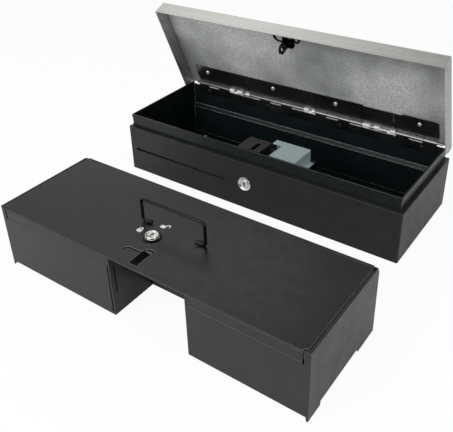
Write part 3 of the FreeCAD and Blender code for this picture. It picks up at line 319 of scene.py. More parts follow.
@dataclass(frozen=True)
class BrushedSteel(Finish):
    """Brushed stainless sheet: fine lines one way over a faint mottle, and a dull underside."""

    glossier: float = 0.06
    duller: float = 0.08
    dark_colour: str = "#7b7a77"
    line_mm: float = 0.9
    line_length_mm: float = 110.0
    line_share: float = 0.72
    mottle_mm: float = 3.0
    mottle_share: float = 0.28
    line_depth_mm: float = 0.01
    sheet_turn: float = 0.0
    under_from: float = 0.85
    under_full: float = 0.95
    mill_colour: str = "#c6c8c7"
    mill_dark_colour: str = "#9c9e9d"
    mill_roughness: float = 0.55
    mill_metal: float = 0.08
    shade_cloud_mm: float = 150.0
    shade_cloud_shift_mm: float = 705.0
    shade_cloud_low: float = -0.15
    shade_cloud_high: float = 1.35
    shade_cloud_colour: str = "#6c6e6e"

    def make(self) -> bpy.types.Material:
        """Mixes the brushed face all over, and the mill's own grey on the underside.

        Returns:
            The material.
        """
        recipe = self.start(metallic=1.0)
        facing = recipe.add("ShaderNodeNewGeometry").outputs["True Normal"]
        # Brushed lines are finer than 0.1 mm; they are drawn as coarse as they need to show.
        lines = self.lines(recipe, facing)
        mottle = recipe.cloud(self.mottle_mm, detail=4.0)
        part = recipe.add("ShaderNodeMath", {"operation": "MULTIPLY", 1: self.mottle_share}, {0: mottle})
        both = recipe.add("ShaderNodeMath", {"operation": "MULTIPLY_ADD", 1: self.line_share},
                          {0: lines, 2: part.outputs[0]}).outputs[0]
        brushed = recipe.add("ShaderNodeMix", {"data_type": "RGBA", COLOUR_A: linear(self.dark_colour),
                                               COLOUR_B: linear(self.colour)}, {0: both})
        under = self.underside(recipe, facing)
        sheet = recipe.add("ShaderNodeMix", {"data_type": "RGBA"},
                           {0: under, COLOUR_A: brushed.outputs[COLOUR_OUT], COLOUR_B: self.mill(recipe)})
        recipe.feed("Base Color", sheet.outputs[COLOUR_OUT])
        gloss = recipe.add("ShaderNodeMapRange", {"To Min": self.roughness - self.glossier,
                                                  "To Max": self.roughness + self.duller}, {"Value": both})
        rough = recipe.add("ShaderNodeMix", {"data_type": "FLOAT", VALUE_B: self.mill_roughness},
                           {0: under, VALUE_A: gloss.outputs[0]})
        recipe.feed("Roughness", rough.outputs[0])
        metal = recipe.add("ShaderNodeMix", {"data_type": "FLOAT", VALUE_A: 1.0,
                                             VALUE_B: self.mill_metal}, {0: under})
        recipe.feed("Metallic", metal.outputs[0])
        recipe.emboss(lines, self.line_depth_mm)
        return recipe.material

    def lines(self, recipe: Recipe, facing: bpy.types.NodeSocket) -> bpy.types.NodeSocket:
        """Draws the brushed lines: along X, and down the sheet on the end skirts.

        Args:
            recipe: the material being mixed.
            facing: the direction that the sheet faces.

        Returns:
            The socket with 0 in a line and 1 between lines.
        """
        long_way = recipe.grain((self.line_length_mm, self.line_mm, self.line_mm), 0.0, 1.0)
        down_skirt = recipe.grain((self.line_mm, self.line_mm, self.line_length_mm), 0.0, 1.0,
                                  turn=self.sheet_turn)
        sideways = recipe.add("ShaderNodeVectorMath", {"operation": "DOT_PRODUCT", 1: (1.0, 0.0, 0.0)},
                              {0: facing})
        size = recipe.add("ShaderNodeMath", {"operation": "ABSOLUTE"}, {0: sideways.outputs["Value"]})
        return recipe.add("ShaderNodeMix", {"data_type": "FLOAT"},
                          {0: size.outputs[0], VALUE_A: long_way, VALUE_B: down_skirt}).outputs[0]

    def mill(self, recipe: Recipe) -> bpy.types.NodeSocket:
        """The unbrushed sheet's colour: fine specks under wide, dark clouds of painted shade.

        Args:
            recipe: the material being mixed.

        Returns:
            The socket with the colour.
        """
        speck = recipe.cloud(self.mottle_mm, detail=3.0)
        plain = recipe.add("ShaderNodeMix", {"data_type": "RGBA", COLOUR_A: linear(self.mill_dark_colour),
                                             COLOUR_B: linear(self.mill_colour)}, {0: speck})
        # The wide dark clouds are painted shade, moved into place on the underside by their shift.
        shade_cloud = recipe.grain((self.shade_cloud_mm,) * 3, self.shade_cloud_low, self.shade_cloud_high, detail=3.0,
                             shift=self.shade_cloud_shift_mm)
        return recipe.add("ShaderNodeMix", {"data_type": "RGBA", COLOUR_A: linear(self.shade_cloud_colour)},
                          {0: shade_cloud, COLOUR_B: plain.outputs[COLOUR_OUT]}).outputs[COLOUR_OUT]

    def underside(self, recipe: Recipe, facing: bpy.types.NodeSocket) -> bpy.types.NodeSocket:
        """Finds the underside of the sheet, which keeps the mill's dull grey.

        Args:
            recipe: the material being mixed.
            facing: the direction that the sheet faces.

        Returns:
            The socket with 1 on the underside and 0 elsewhere.
        """
        down = (0.0, -math.sin(self.sheet_turn), -math.cos(self.sheet_turn))
        match = recipe.add("ShaderNodeVectorMath", {"operation": "DOT_PRODUCT", 1: down}, {0: facing})
        return recipe.add("ShaderNodeMapRange", {"From Min": self.under_from, "From Max": self.under_full},
                          {"Value": match.outputs["Value"]}).outputs[0]


@dataclass(frozen=True)
class PlatedSteel(Finish):
    """Zinc, nickel or chrome plate on steel: a fine grain, clouded gloss, and edges in their own colour:
    worn on most plate, and a painted glint on black nickel.
    """

    duller: float = 0.07
    edge_wear_and_glint_colour: str = "#c8c9c6"
    cloud_colour: str = "#8f9695"
    metal: float = 1.0
    cloud_mm: float = 5.0
    edge_mm: float = 0.4
    edge_gain: float = 3.0
    grain_mm: float = 0.8
    grain_depth_mm: float = 0.005

    def plate(self) -> Recipe:
        """Mixes the plate, which a piece may wear in part.

        Returns:
            The recipe, ready for what covers part of it.
        """
        recipe = self.start(metallic=self.metal)
        recipe.dapple(self.cloud_mm, self.cloud_colour, self.colour, detail=4.0)
        # The edges take their own colour: wear on most plate, and a painted glint on black nickel.
        soft = recipe.wear_and_highlight_edges(self.edge_mm, self.edge_gain, self.edge_wear_and_glint_colour)
        self.gloss(recipe, self.cloud_mm, detail=3.0)
        # Plate has a grain of a few hundredths of a millimetre; it is drawn at the size that shows.
        recipe.emboss(recipe.cloud(self.grain_mm), self.grain_depth_mm, over=soft)
        return recipe

    def make(self) -> bpy.types.Material:
        """Mixes the material."""
        return self.plate().material


@dataclass(frozen=True)
class CollarPlate(PlatedSteel):
    """Bright plate on a lock's collar, and the flange under it darker."""

    flange_colour: str = "#1b1b1a"
    flange_top_mm: float = 0.0
    fade_mm: float = 0.2

    def make(self) -> bpy.types.Material:
        """Mixes the material, dark below the flange's top.

        Returns:
            The material.
        """
        recipe = self.plate()
        height = recipe.add("ShaderNodeSeparateXYZ", links={0: recipe.place})
        low = recipe.add("ShaderNodeMapRange", {"From Min": self.flange_top_mm,
                                                "From Max": self.flange_top_mm - self.fade_mm},
                         {"Value": height.outputs["Z"]})
        recipe.cover(low.outputs[0], self.flange_colour)
        return recipe.material


@dataclass(frozen=True)
class RolledHinge(PlatedSteel):
    """Piano hinge strip: darker leaves, and knuckles rolled round the pin and painted brighter as a
    highlight.
    """

    leaf_colour: str = "#4a4c4c"
    highlight_to_mm: float = 3.4
    highlight_fade_to_mm: float = 3.7

    def make(self) -> bpy.types.Material:
        """Mixes the material, with a painted highlight within the knuckles' reach of the pin.

        Returns:
            The material.
        """
        recipe = self.plate()
        low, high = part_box("hinge_pin")
        pin = (low + high) / (2 * MM)
        flat = recipe.add("ShaderNodeVectorMath", {"operation": "MULTIPLY", 1: (0.0, 1.0, 1.0)},
                          {0: recipe.place})
        reach = recipe.add("ShaderNodeVectorMath", {"operation": "DISTANCE", 1: (0.0, pin.y, pin.z)},
                           {0: flat.outputs[0]})
        leaf = recipe.add("ShaderNodeMapRange", {"From Min": self.highlight_to_mm,
                                                 "From Max": self.highlight_fade_to_mm},
                          {"Value": reach.outputs["Value"]})
        # The knuckles keep the bright colour as a painted highlight; the leaves take the darker one.
        recipe.cover(leaf.outputs[0], self.leaf_colour)
        return recipe.material


@dataclass(frozen=True)
class Moulded(Finish):
    """Moulded plastic, rubber or cured ink: a spark-eroded texture, slightly uneven in gloss."""

    texture_mm: float = 0.9
    texture_depth_mm: float = 0.02
    shade_mm: float = 14.0
    gloss_mm: float = 8.0
    shade_colour: str = "#161717"

    def make(self) -> bpy.types.Material:
        """Mixes the material.

        Returns:
            The material.
        """
        recipe = self.start()
        recipe.dapple(self.shade_mm, self.colour, self.shade_colour)
        self.gloss(recipe, self.gloss_mm)
        # The tool's texture is about a tenth of a millimetre coarse; it is drawn as coarse as it shows.
        recipe.emboss(recipe.cloud(self.texture_mm), self.texture_depth_mm)
        return recipe.material


@dataclass(frozen=True)
class WoundTape(Finish):
    """Glossy insulating tape over a coil, with the wire's turns showing through as fine ridges."""

    glossier: float = 0.1
    duller: float = 0.1
    gloss_mm: float = 4.0
    ridge_mm: float = 0.5
    ridge_depth_mm: float = 0.15

    def make(self) -> bpy.types.Material:
        """Mixes the material.

        Returns:
            The material.
        """
        recipe = self.start()
        # The turns are as close as the wire is thick, about 0.3 mm; they are drawn a little coarser.
        ridges = recipe.add("ShaderNodeTexWave", {"wave_profile": "SAW", "bands_direction": "X",
                                                  "Scale": WAVE_PERIOD / self.ridge_mm,
                                                  "Distortion": 0.0}, {"Vector": recipe.place})
        self.gloss(recipe, self.gloss_mm)
        recipe.emboss(ridges.outputs["Fac"], self.ridge_depth_mm)
        return recipe.material


# Satin powder coat, sprayed and baked: near black, with a broad soft shine and grey folds painted as
# highlights.
COAT = PowderCoat("polyester_powder_coat_satin", "black_coat", "#141615", 0.34, ior=1.4,
                  cloud_colour="#1c1e1d", fold_highlight_colour="#454746")
# The same coat on the outer walls, where handling dulls it: a shade greyer and less shiny.
SHELL_COAT = PowderCoat("polyester_powder_coat_dull", "black_coat", "#1a1c1b", 0.38, ior=1.35,
                        cloud_colour="#212322")
# The same coat on the till's cover: black, darker than on the case, with pale thin edges painted as
# highlights.
COVER_COAT = PowderCoat("polyester_powder_coat_cover_painted_highlights", "black_coat", "#0e0e0e", 0.34, ior=1.37,
                        cloud_colour="#131313", fold_highlight_colour="#a6a7a6", fold_mm=0.85)
# The same coat inside the drawer: deep black with a cool tint, darkened as painted shade, with a clear
# shine.
DEEP_COAT = PowderCoat("polyester_powder_coat_inside_painted_shade", "black_coat", "#090d0d", 0.3, ior=1.4,
                       cloud_colour="#0e1314", fold_highlight_colour="#5a605e")
# The same coat on the back wall: black with a cool tint, darkened as painted shade, and the two folds of
# its pressed step painted bright as highlights.
WALL_COAT = PowderCoat("polyester_powder_coat_back_wall", "black_coat", "#0d1415", 0.34, ior=1.22,
                       cloud_colour="#131b1d", fold_highlight_colour="#eef2f1", fold_mm=0.7, fold_gain=20.0)
# Stainless sheet brushed with a belt: warm grey with long lines, and a cold underside clouded with painted
# shade.
STAINLESS = BrushedSteel("stainless_sheet_brushed", "stainless", "#c9c8c4", 0.38,
                         dark_colour="#a6a5a1", sheet_turn=LID_OPEN)
# Steel strip rolled round its pin: dark leaves beside a thin bright line painted on the knuckles as a
# highlight.
HINGE = RolledHinge("hinge_strip_rolled", "hinge_steel", "#7a7b7a", 0.3, cloud_colour="#6b6c6b",
                    edge_wear_and_glint_colour="#7a7b7a", cloud_mm=40.0, grain_mm=6.0, grain_depth_mm=0.002)
# The same strip on the lid: a leaf painted a lighter grey to stand in for the light it reflects.
LID_HINGE = replace(HINGE, name="hinge_strip_rolled_lid_painted_lighter", leaf_colour="#808282")
# Zinc plate, passivated blue: pale, cool and matte, like dry paint.
ZINC = PlatedSteel("zinc_plate_passivated", "zinc_plate", "#b4c6c7", 0.42, cloud_colour="#a9bbbc",
                   edge_wear_and_glint_colour="#c9d6d6", metal=0.4)
# Bright zinc plate on fasteners: small, clear glints.
FASTENER = PlatedSteel("zinc_plate_bright", "zinc_plate", "#e3e4e0", 0.24, cloud_colour="#c4c6c3",
                       cloud_mm=2.0, edge_mm=0.2)
# Chrome plate, polished: a mirror that is white and black by turns.
CHROME = PlatedSteel("chrome_plate_polished", "chrome", "#f0f0ec", 0.08, cloud_colour="#e4e4e0",
                     grain_mm=3.0, grain_depth_mm=0.001, edge_mm=0.25)
# The same chrome on a lock's collar, with its flange darker: a bright ring on a dark one.
COLLAR = CollarPlate("chrome_plate_with_dark_flange", "chrome", "#f0f0ec", 0.08,
                     cloud_colour="#e4e4e0", grain_mm=3.0, grain_depth_mm=0.001, edge_mm=0.25,
                     flange_top_mm=93.7)
# Nickel-plated spring wire, painted near white and half matte: a painted highlight that makes the close
# turns show as small white blocks.
SPRING = PlatedSteel("spring_wire_nickel_plated", "spring_steel", "#f6f6f2", 0.3,
                     cloud_colour="#e6e6e2", metal=0.35, cloud_mm=1.5, edge_mm=0.1)
# Black nickel plate: dark and glossy, with bright edges painted as glints.
DARK_STEEL = PlatedSteel("steel_black_nickel", "black_steel", "#2a2a2a", 0.16, cloud_colour="#1c1c1c",
                         edge_wear_and_glint_colour="#a0a09e", edge_mm=0.25)
# Baked enamel on wire: a black line with one thin glint.
BLACK_WIRE = PowderCoat("wire_black_enamel", "black_steel", "#050505", 0.22, ior=1.28,
                        cloud_colour="#080808", fold_highlight_colour="#0a0a0a", cloud_mm=8.0, fold_mm=0.2)
# Matte black paint, sprayed: a warm dark grey with no shine, and folds painted paler as highlights.
PLATE = PowderCoat("steel_black_paint_matte", "black_coat", "#1f1d1d", 0.46, cloud_colour="#252323",
                   fold_highlight_colour="#4d4b4a")
# Polyester tape, wound: brownish black with ridged glints.
TAPE = WoundTape("polyester_tape_wound", "coil_wrap", "#0b0a08", 0.3)
# Nitrile rubber, moulded: flat black.
RUBBER = Moulded("nitrile_rubber_moulded", "rubber", "#101010", 0.72, texture_mm=0.6)
# ABS, moulded in a spark-eroded tool: dark grey with a fine even texture.
TRAY = Moulded("abs_moulded_textured", "tray_plastic", "#191a1a", 0.45)
# Epoxy ink, printed: an even off-white.
INK = Moulded("epoxy_ink_white", "chrome", "#e6e7e3", 0.5, texture_mm=0.5, texture_depth_mm=0.004,
              shade_colour="#d6d7d3")


# ---------------------------------------------------------------- shapes, in mm

Path = list[Vector]


def sweep(shape: bmesh.types.BMesh, path: Path, radius: float, sides: int = 8) -> None:
    """Draws round wire along a path, closed at both ends.

    Args:
        shape: the mesh that gets the wire.
        path: the wire's middle line.
        radius: the wire's radius.
        sides: how many faces go round it.
    """
    tangents = [(path[min(i + 1, len(path) - 1)] - path[max(i - 1, 0)]).normalized()
                for i in range(len(path))]
    across = tangents[0].orthogonal().normalized()
    rings = []
    for i, (point, along) in enumerate(zip(path, tangents)):
        if i:
            across = tangents[i - 1].rotation_difference(along) @ across
        over = along.cross(across)
        angles = [math.tau * k / sides for k in range(sides)]
        rings.append([shape.verts.new(point + radius * (math.cos(a) * across + math.sin(a) * over))
                      for a in angles])
    for first, second in zip(rings, rings[1:]):
        for k in range(sides):
            n = (k + 1) % sides
            shape.faces.new((first[k], first[n], second[n], second[k]))
    shape.faces.new(rings[0])
    shape.faces.new(rings[-1])


def turns(start: Vector, mean: float, pitch: float, sweep_deg: float, per_turn: int = 14) -> Path:
    """A helix about a line along X.

    Args:
        start: where its axis starts.
        mean: the radius of the wire's middle line.
        pitch: how far a turn moves along X.
        sweep_deg: how far it winds from -Y up towards +Z, negative for the other hand.
        per_turn: points in a turn.

    Returns:
        The points of the helix.
    """
    count = max(2, round(abs(sweep_deg) / 360 * per_turn))
    points = []
    for i in range(count + 1):
        angle = math.radians(sweep_deg * i / count)
        along = pitch * abs(sweep_deg) / 360 * i / count
        points.append(start + Vector((along, -mean * math.cos(angle), mean * math.sin(angle))))
    return points


@dataclass(frozen=True)
class PanHead:
    """A pan-head screw: a crowned head with its cross recess, on a plain shank."""

    radius: float
    height: float
    shank_radius: float
    shank: float
    bar_half: float = 0.17
    bar_wall: float = 0.05
    bar_reach: float = 0.66
    bar_rise: float = 0.5
    recess: float = 0.7
    crown: float = 2.6
    spokes: int = 72
    rings: tuple[float, ...] = (*(0.05 * i for i in range(1, 18)), 0.9, 0.94, 0.97, 0.99, 1.0)

    def level(self, x: float, y: float) -> float:
        """The head's height over its seat at a place.

        Args:
            x: the place along one bar of the cross.
            y: the place along the other bar.

        Returns:
            The height in mm.
        """
        share = min(1.0, math.hypot(x, y) / self.radius)
        top = self.height * (1.0 - share ** self.crown) ** (1 / self.crown)
        if share > self.bar_reach:
            return top
        off = min(abs(x), abs(y)) / self.radius
        wall = min(1.0, max(0.0, (self.bar_half - off) / self.bar_wall))
        return top - wall * self.height * self.recess * (1.0 - self.bar_rise * share / self.bar_reach)

    def circle(self, radius: float) -> list[Span]:
        """The places round the screw's axis at a radius."""
        angles = [math.tau * k / self.spokes for k in range(self.spokes)]
        return [(radius * math.cos(a), radius * math.sin(a)) for a in angles]

    def draw(self, shape: bmesh.types.BMesh, seat: Vector, way: Vector, spin_deg: float) -> None:
        """Adds the screw to a mesh.

        Args:
            shape: the mesh.
            seat: the middle of the face that the head stands on.
            way: the direction that the head faces.
            spin_deg: how far the screw is turned.
        """
        upright = Vector((0, 0, 1)).rotation_difference(way).to_matrix().to_4x4()
        place = Matrix.Translation(seat) @ upright @ Matrix.Rotation(math.radians(spin_deg), 4, "Z")
        rings = [[shape.verts.new(place @ Vector((x, y, self.level(x, y))))
                  for x, y in self.circle(share * self.radius)] for share in self.rings]
        rings += [[shape.verts.new(place @ Vector((x, y, depth)))
                   for x, y in self.circle(self.shank_radius)] for depth in (0.0, -self.shank)]
        middle = shape.verts.new(place @ Vector((0, 0, self.level(0, 0))))
        for k in range(self.spokes):
            n = (k + 1) % self.spokes
            shape.faces.new((middle, rings[0][k], rings[0][n]))
            for inner, outer in zip(rings, rings[1:]):
                shape.faces.new((inner[k], outer[k], outer[n], inner[n]))
        shape.faces.new(rings[-1])


def slab(shape: bmesh.types.BMesh, outline: Sequence[Vector], thickness: float) -> None:
    """Adds a thin plate with a flat outline, raised along Z.

    Args:
        shape: the mesh that gets it.
        outline: the corners of its underside, in order.
        thickness: how thick it is.
    """
    low = [shape.verts.new(p) for p in outline]
    high = [shape.verts.new(p + Vector((0, 0, thickness))) for p in outline]
    shape.faces.new(low)
    shape.faces.new(high)
    for k in range(len(low)):
        n = (k + 1) % len(low)
        shape.faces.new((low[k], low[n], high[n], high[k]))


class Workshop:
    """Mixes each finish once, and dresses framed and new pieces in it."""

    def __init__(self) -> None:
        """Starts with no finish mixed."""
        self.mixed: dict[str, bpy.types.Material] = {}

    def material(self, finish: Finish) -> bpy.types.Material:
        """Gives the material of a finish, mixed on first use.

        Args:
            finish: the finish.

        Returns:
            Its one material.
        """
        if finish.name not in self.mixed:
            self.mixed[finish.name] = finish.make()
        return self.mixed[finish.name]

    def dress(self, nodes: Sequence[str], finish: Finish) -> None:
        """Gives framed pieces a finish.

        Args:
            nodes: the pieces' names.
            finish: what they are coated with or made of.
        """
        for name in nodes:
            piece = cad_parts[name]
            piece.data.materials.clear()
            piece.data.materials.append(self.material(finish))
            LOG.info("%s: %s", name, finish.name)

    def add(self, name: str, shape: bmesh.types.BMesh, finish: Finish, body: str | None,
            stands_for: Sequence[str] = (), smooth: bool = True) -> bpy.types.Object:
        """Makes a new piece from a mesh in mm.

        Args:
            name: the piece's name.
            shape: its mesh, which this call frees.
            finish: its finish.
            body: the body that it moves with, or None to leave it on no body.
            stands_for: framed pieces that it replaces.
            smooth: whether its faces are shaded as one curved surface.

        Returns:
            The new object.
        """
        mesh = bpy.data.meshes.new(name)
        bmesh.ops.scale(shape, vec=(MM, MM, MM), verts=shape.verts)
        bmesh.ops.recalc_face_normals(shape, faces=shape.faces)
        shape.to_mesh(mesh)
        shape.free()
        piece = bpy.data.objects.new(name, mesh)
        bpy.context.scene.collection.objects.link(piece)
        mesh.materials.append(self.material(finish))
        if smooth:
            mesh.shade_smooth()
            mesh.set_sharp_from_angle(angle=SHARP_EDGE)
        if body is not None:
            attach(piece, body)
        if stands_for:
            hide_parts(*stands_for)
        LOG.info("%s: new, %s, %d faces", name, finish.name, len(mesh.polygons))
        return piece


# ---------------------------------------------------------------- studio

@dataclass(frozen=True)
class Softbox:
    """A flat lamp: where it hangs and its sides in mm, and its power in watts."""

    name: str
    place: tuple[float, float, float]
    sides: Span
    power: float

    def hang(self) -> None:
        """Hangs the lamp, facing the middle of the object."""
        light = bpy.data.lights.new(self.name, "AREA")
        light.shape = "RECTANGLE"
        light.size, light.size_y = (side * MM for side in self.sides)
        light.energy = self.power
        lamp = bpy.data.objects.new(self.name, light)
        lamp.location = Vector(self.place) * MM
        aim = (FRAME_BOX[0] + FRAME_BOX[1]) / 2 - lamp.location
        lamp.rotation_mode = "QUATERNION"
        lamp.rotation_quaternion = aim.to_track_quat("-Z", "Y")
        bpy.context.scene.collection.objects.link(lamp)


@dataclass
class Studio:
    """A pale floor, soft lamps and the camera.

    Heights in the sky run from 0 at the horizon to 1 overhead.
    """

    eye_mm: tuple[float, float, float] = (448.3, -743.9, 537.6)
    heading_deg: float = -36.65
    tilt_deg: float = 29.62
    roll_deg: float = -1.95
    lens_mm: float = 51.54
    slide: float = 0.0046
    rise: float = -0.1237
    floor_half_mm: float = 6000.0
    sky_strength: float = 0.55
    haze_heights: Span = (0.3, 0.7)
    haze_dim: float = 0.55
    ceiling_heights: Span = (0.79, 0.88)
    ceiling_dim: float = 0.5
    floor_grey: float = 0.9
    floor_seen: float = 0.94
    floor_mirrored: float = 0.25
    lamps: tuple[Softbox, ...] = (Softbox("right_softbox", (1500, -500, 700), (1200, 1200), 4.0),
                                  Softbox("lid_softbox", (850, -380, 520), (500, 500), 1.1),
                                  Softbox("front_softbox", (-300, -1700, 900), (1500, 1500), 28.0),
                                  Softbox("top_softbox", (-200, -200, 2400), (1400, 1400), 5.5),
                                  Softbox("lid_strip", (-560, 370, 1000), (850, 350), 1.2))

    def build(self) -> None:
        """Sets up the whole studio."""
        self.world()
        self.floor()
        for lamp in self.lamps:
            lamp.hang()
        self.camera()

    def seen_share(self, tree: bpy.types.NodeTree) -> bpy.types.NodeSocket:
        """Tells looks from light.

        Args:
            tree: the node tree that asks.

        Returns:
            The socket with 1 for camera, mirror and glass rays, and 0 for light on the object.
        """
        path = add_node(tree, "ShaderNodeLightPath")
        first = add_node(tree, "ShaderNodeMath", {"operation": "MAXIMUM"},
                         {0: path.outputs["Is Camera Ray"], 1: path.outputs["Is Glossy Ray"]})
        return add_node(tree, "ShaderNodeMath", {"operation": "MAXIMUM"},
                        {0: first.outputs[0], 1: path.outputs["Is Transmission Ray"]}).outputs[0]

    def world(self) -> None:
        """Makes a sky that is white to look at, dimmer as a lamp, and darker overhead."""
        world = bpy.data.worlds.new("studio_sky")
        world.use_nodes = True
        tree = world.node_tree
        tree.nodes.clear()
        strength = add_node(tree, "ShaderNodeMapRange", {"To Min": self.sky_strength, "To Max": 1.0},
                            {"Value": self.seen_share(tree)})
        way = add_node(tree, "ShaderNodeTexCoord")
        height = add_node(tree, "ShaderNodeSeparateXYZ", links={0: way.outputs["Generated"]})
        haze = add_node(tree, "ShaderNodeMapRange",
                        {"From Min": self.haze_heights[0], "From Max": self.haze_heights[1],
                         "To Min": 1.0, "To Max": self.haze_dim}, {"Value": height.outputs["Z"]})
        ceiling = add_node(tree, "ShaderNodeMapRange",
                           {"interpolation_type": "SMOOTHSTEP", "From Min": self.ceiling_heights[0],
                            "From Max": self.ceiling_heights[1], "To Min": 1.0,
                            "To Max": self.ceiling_dim},
                           {"Value": height.outputs["Z"]})
        tone = add_node(tree, "ShaderNodeMath", {"operation": "MULTIPLY"},
                        {0: haze.outputs[0], 1: ceiling.outputs[0]})
        sky = add_node(tree, "ShaderNodeBackground", links={"Color": tone.outputs[0],
                                                            "Strength": strength.outputs[0]})
        add_node(tree, "ShaderNodeOutputWorld", links={"Surface": sky.outputs[0]})
        bpy.context.scene.world = world

    def floor(self) -> None:
        """Lays a white floor that keeps a soft shadow."""
        shape = bmesh.new()
        bmesh.ops.create_grid(shape, x_segments=1, y_segments=1, size=self.floor_half_mm * MM)
        mesh = bpy.data.meshes.new("floor")
        shape.to_mesh(mesh)
        shape.free()
        floor = bpy.data.objects.new("floor", mesh)
        floor.location.z = FRAME_BOX[0].z
        bpy.context.scene.collection.objects.link(floor)
        material = bpy.data.materials.new("studio_floor")
        material.use_nodes = True
        tree = material.node_tree
        tree.nodes.clear()
        matte = add_node(tree, "ShaderNodeBsdfDiffuse", {"Color": (*(self.floor_grey,) * 3, 1.0)})
        white = add_node(tree, "ShaderNodeEmission", {"Color": (1, 1, 1, 1), "Strength": 1.0})
        path = add_node(tree, "ShaderNodeLightPath")
        mirror = add_node(tree, "ShaderNodeMath", {"operation": "MULTIPLY", 1: self.floor_mirrored},
                          {0: self.seen_share(tree)})
        direct = add_node(tree, "ShaderNodeMath", {"operation": "MULTIPLY", 1: self.floor_seen},
                          {0: path.outputs["Is Camera Ray"]})
        share = add_node(tree, "ShaderNodeMath", {"operation": "MAXIMUM"},
                         {0: mirror.outputs[0], 1: direct.outputs[0]})
        mix = add_node(tree, "ShaderNodeMixShader", links={0: share.outputs[0], 1: matte.outputs[0],
                                                           2: white.outputs[0]})
        add_node(tree, "ShaderNodeOutputMaterial", links={"Surface": mix.outputs[0]})
        mesh.materials.append(material)

    def camera(self) -> None:
        """Stands the camera at the right front corner, looking down on the object."""
        yaw, pitch, roll = (math.radians(a) for a in (self.heading_deg, self.tilt_deg, self.roll_deg))
        ahead = Vector((math.sin(yaw) * math.cos(pitch), math.cos(yaw) * math.cos(pitch),
                        -math.sin(pitch)))
        right = Vector((math.cos(yaw), -math.sin(yaw), 0.0))
        up = right.cross(ahead)
        side = math.cos(roll) * right + math.sin(roll) * up
        top = math.cos(roll) * up - math.sin(roll) * right
        data = bpy.data.cameras.new("camera")
        data.lens = self.lens_mm
        data.shift_x = self.slide
        data.shift_y = self.rise
        camera = bpy.data.objects.new("camera", data)
        turn = Matrix((side, top, -ahead)).transposed().to_4x4()
        camera.matrix_world = Matrix.Translation(Vector(self.eye_mm) * MM) @ turn
        bpy.context.scene.collection.objects.link(camera)
        bpy.context.scene.camera = camera


# ---------------------------------------------------------------- sub-assemblies

@dataclass
class Housing:
    """The drawer's walls, floor and cable outlet."""

    def build(self, shop: Workshop) -> None:
        """Dresses the housing.

        Args:
            shop: where the pieces are dressed and made.
        """
        shop.dress(("outer_shell",), SHELL_COAT)
        shop.dress(("inner_rim", "base_plate"), DEEP_COAT)
        shop.dress(("back_panel",), WALL_COAT)
        shop.dress(("cable_grommet",), RUBBER)
        shop.dress(("fixing_washers",), FASTENER)


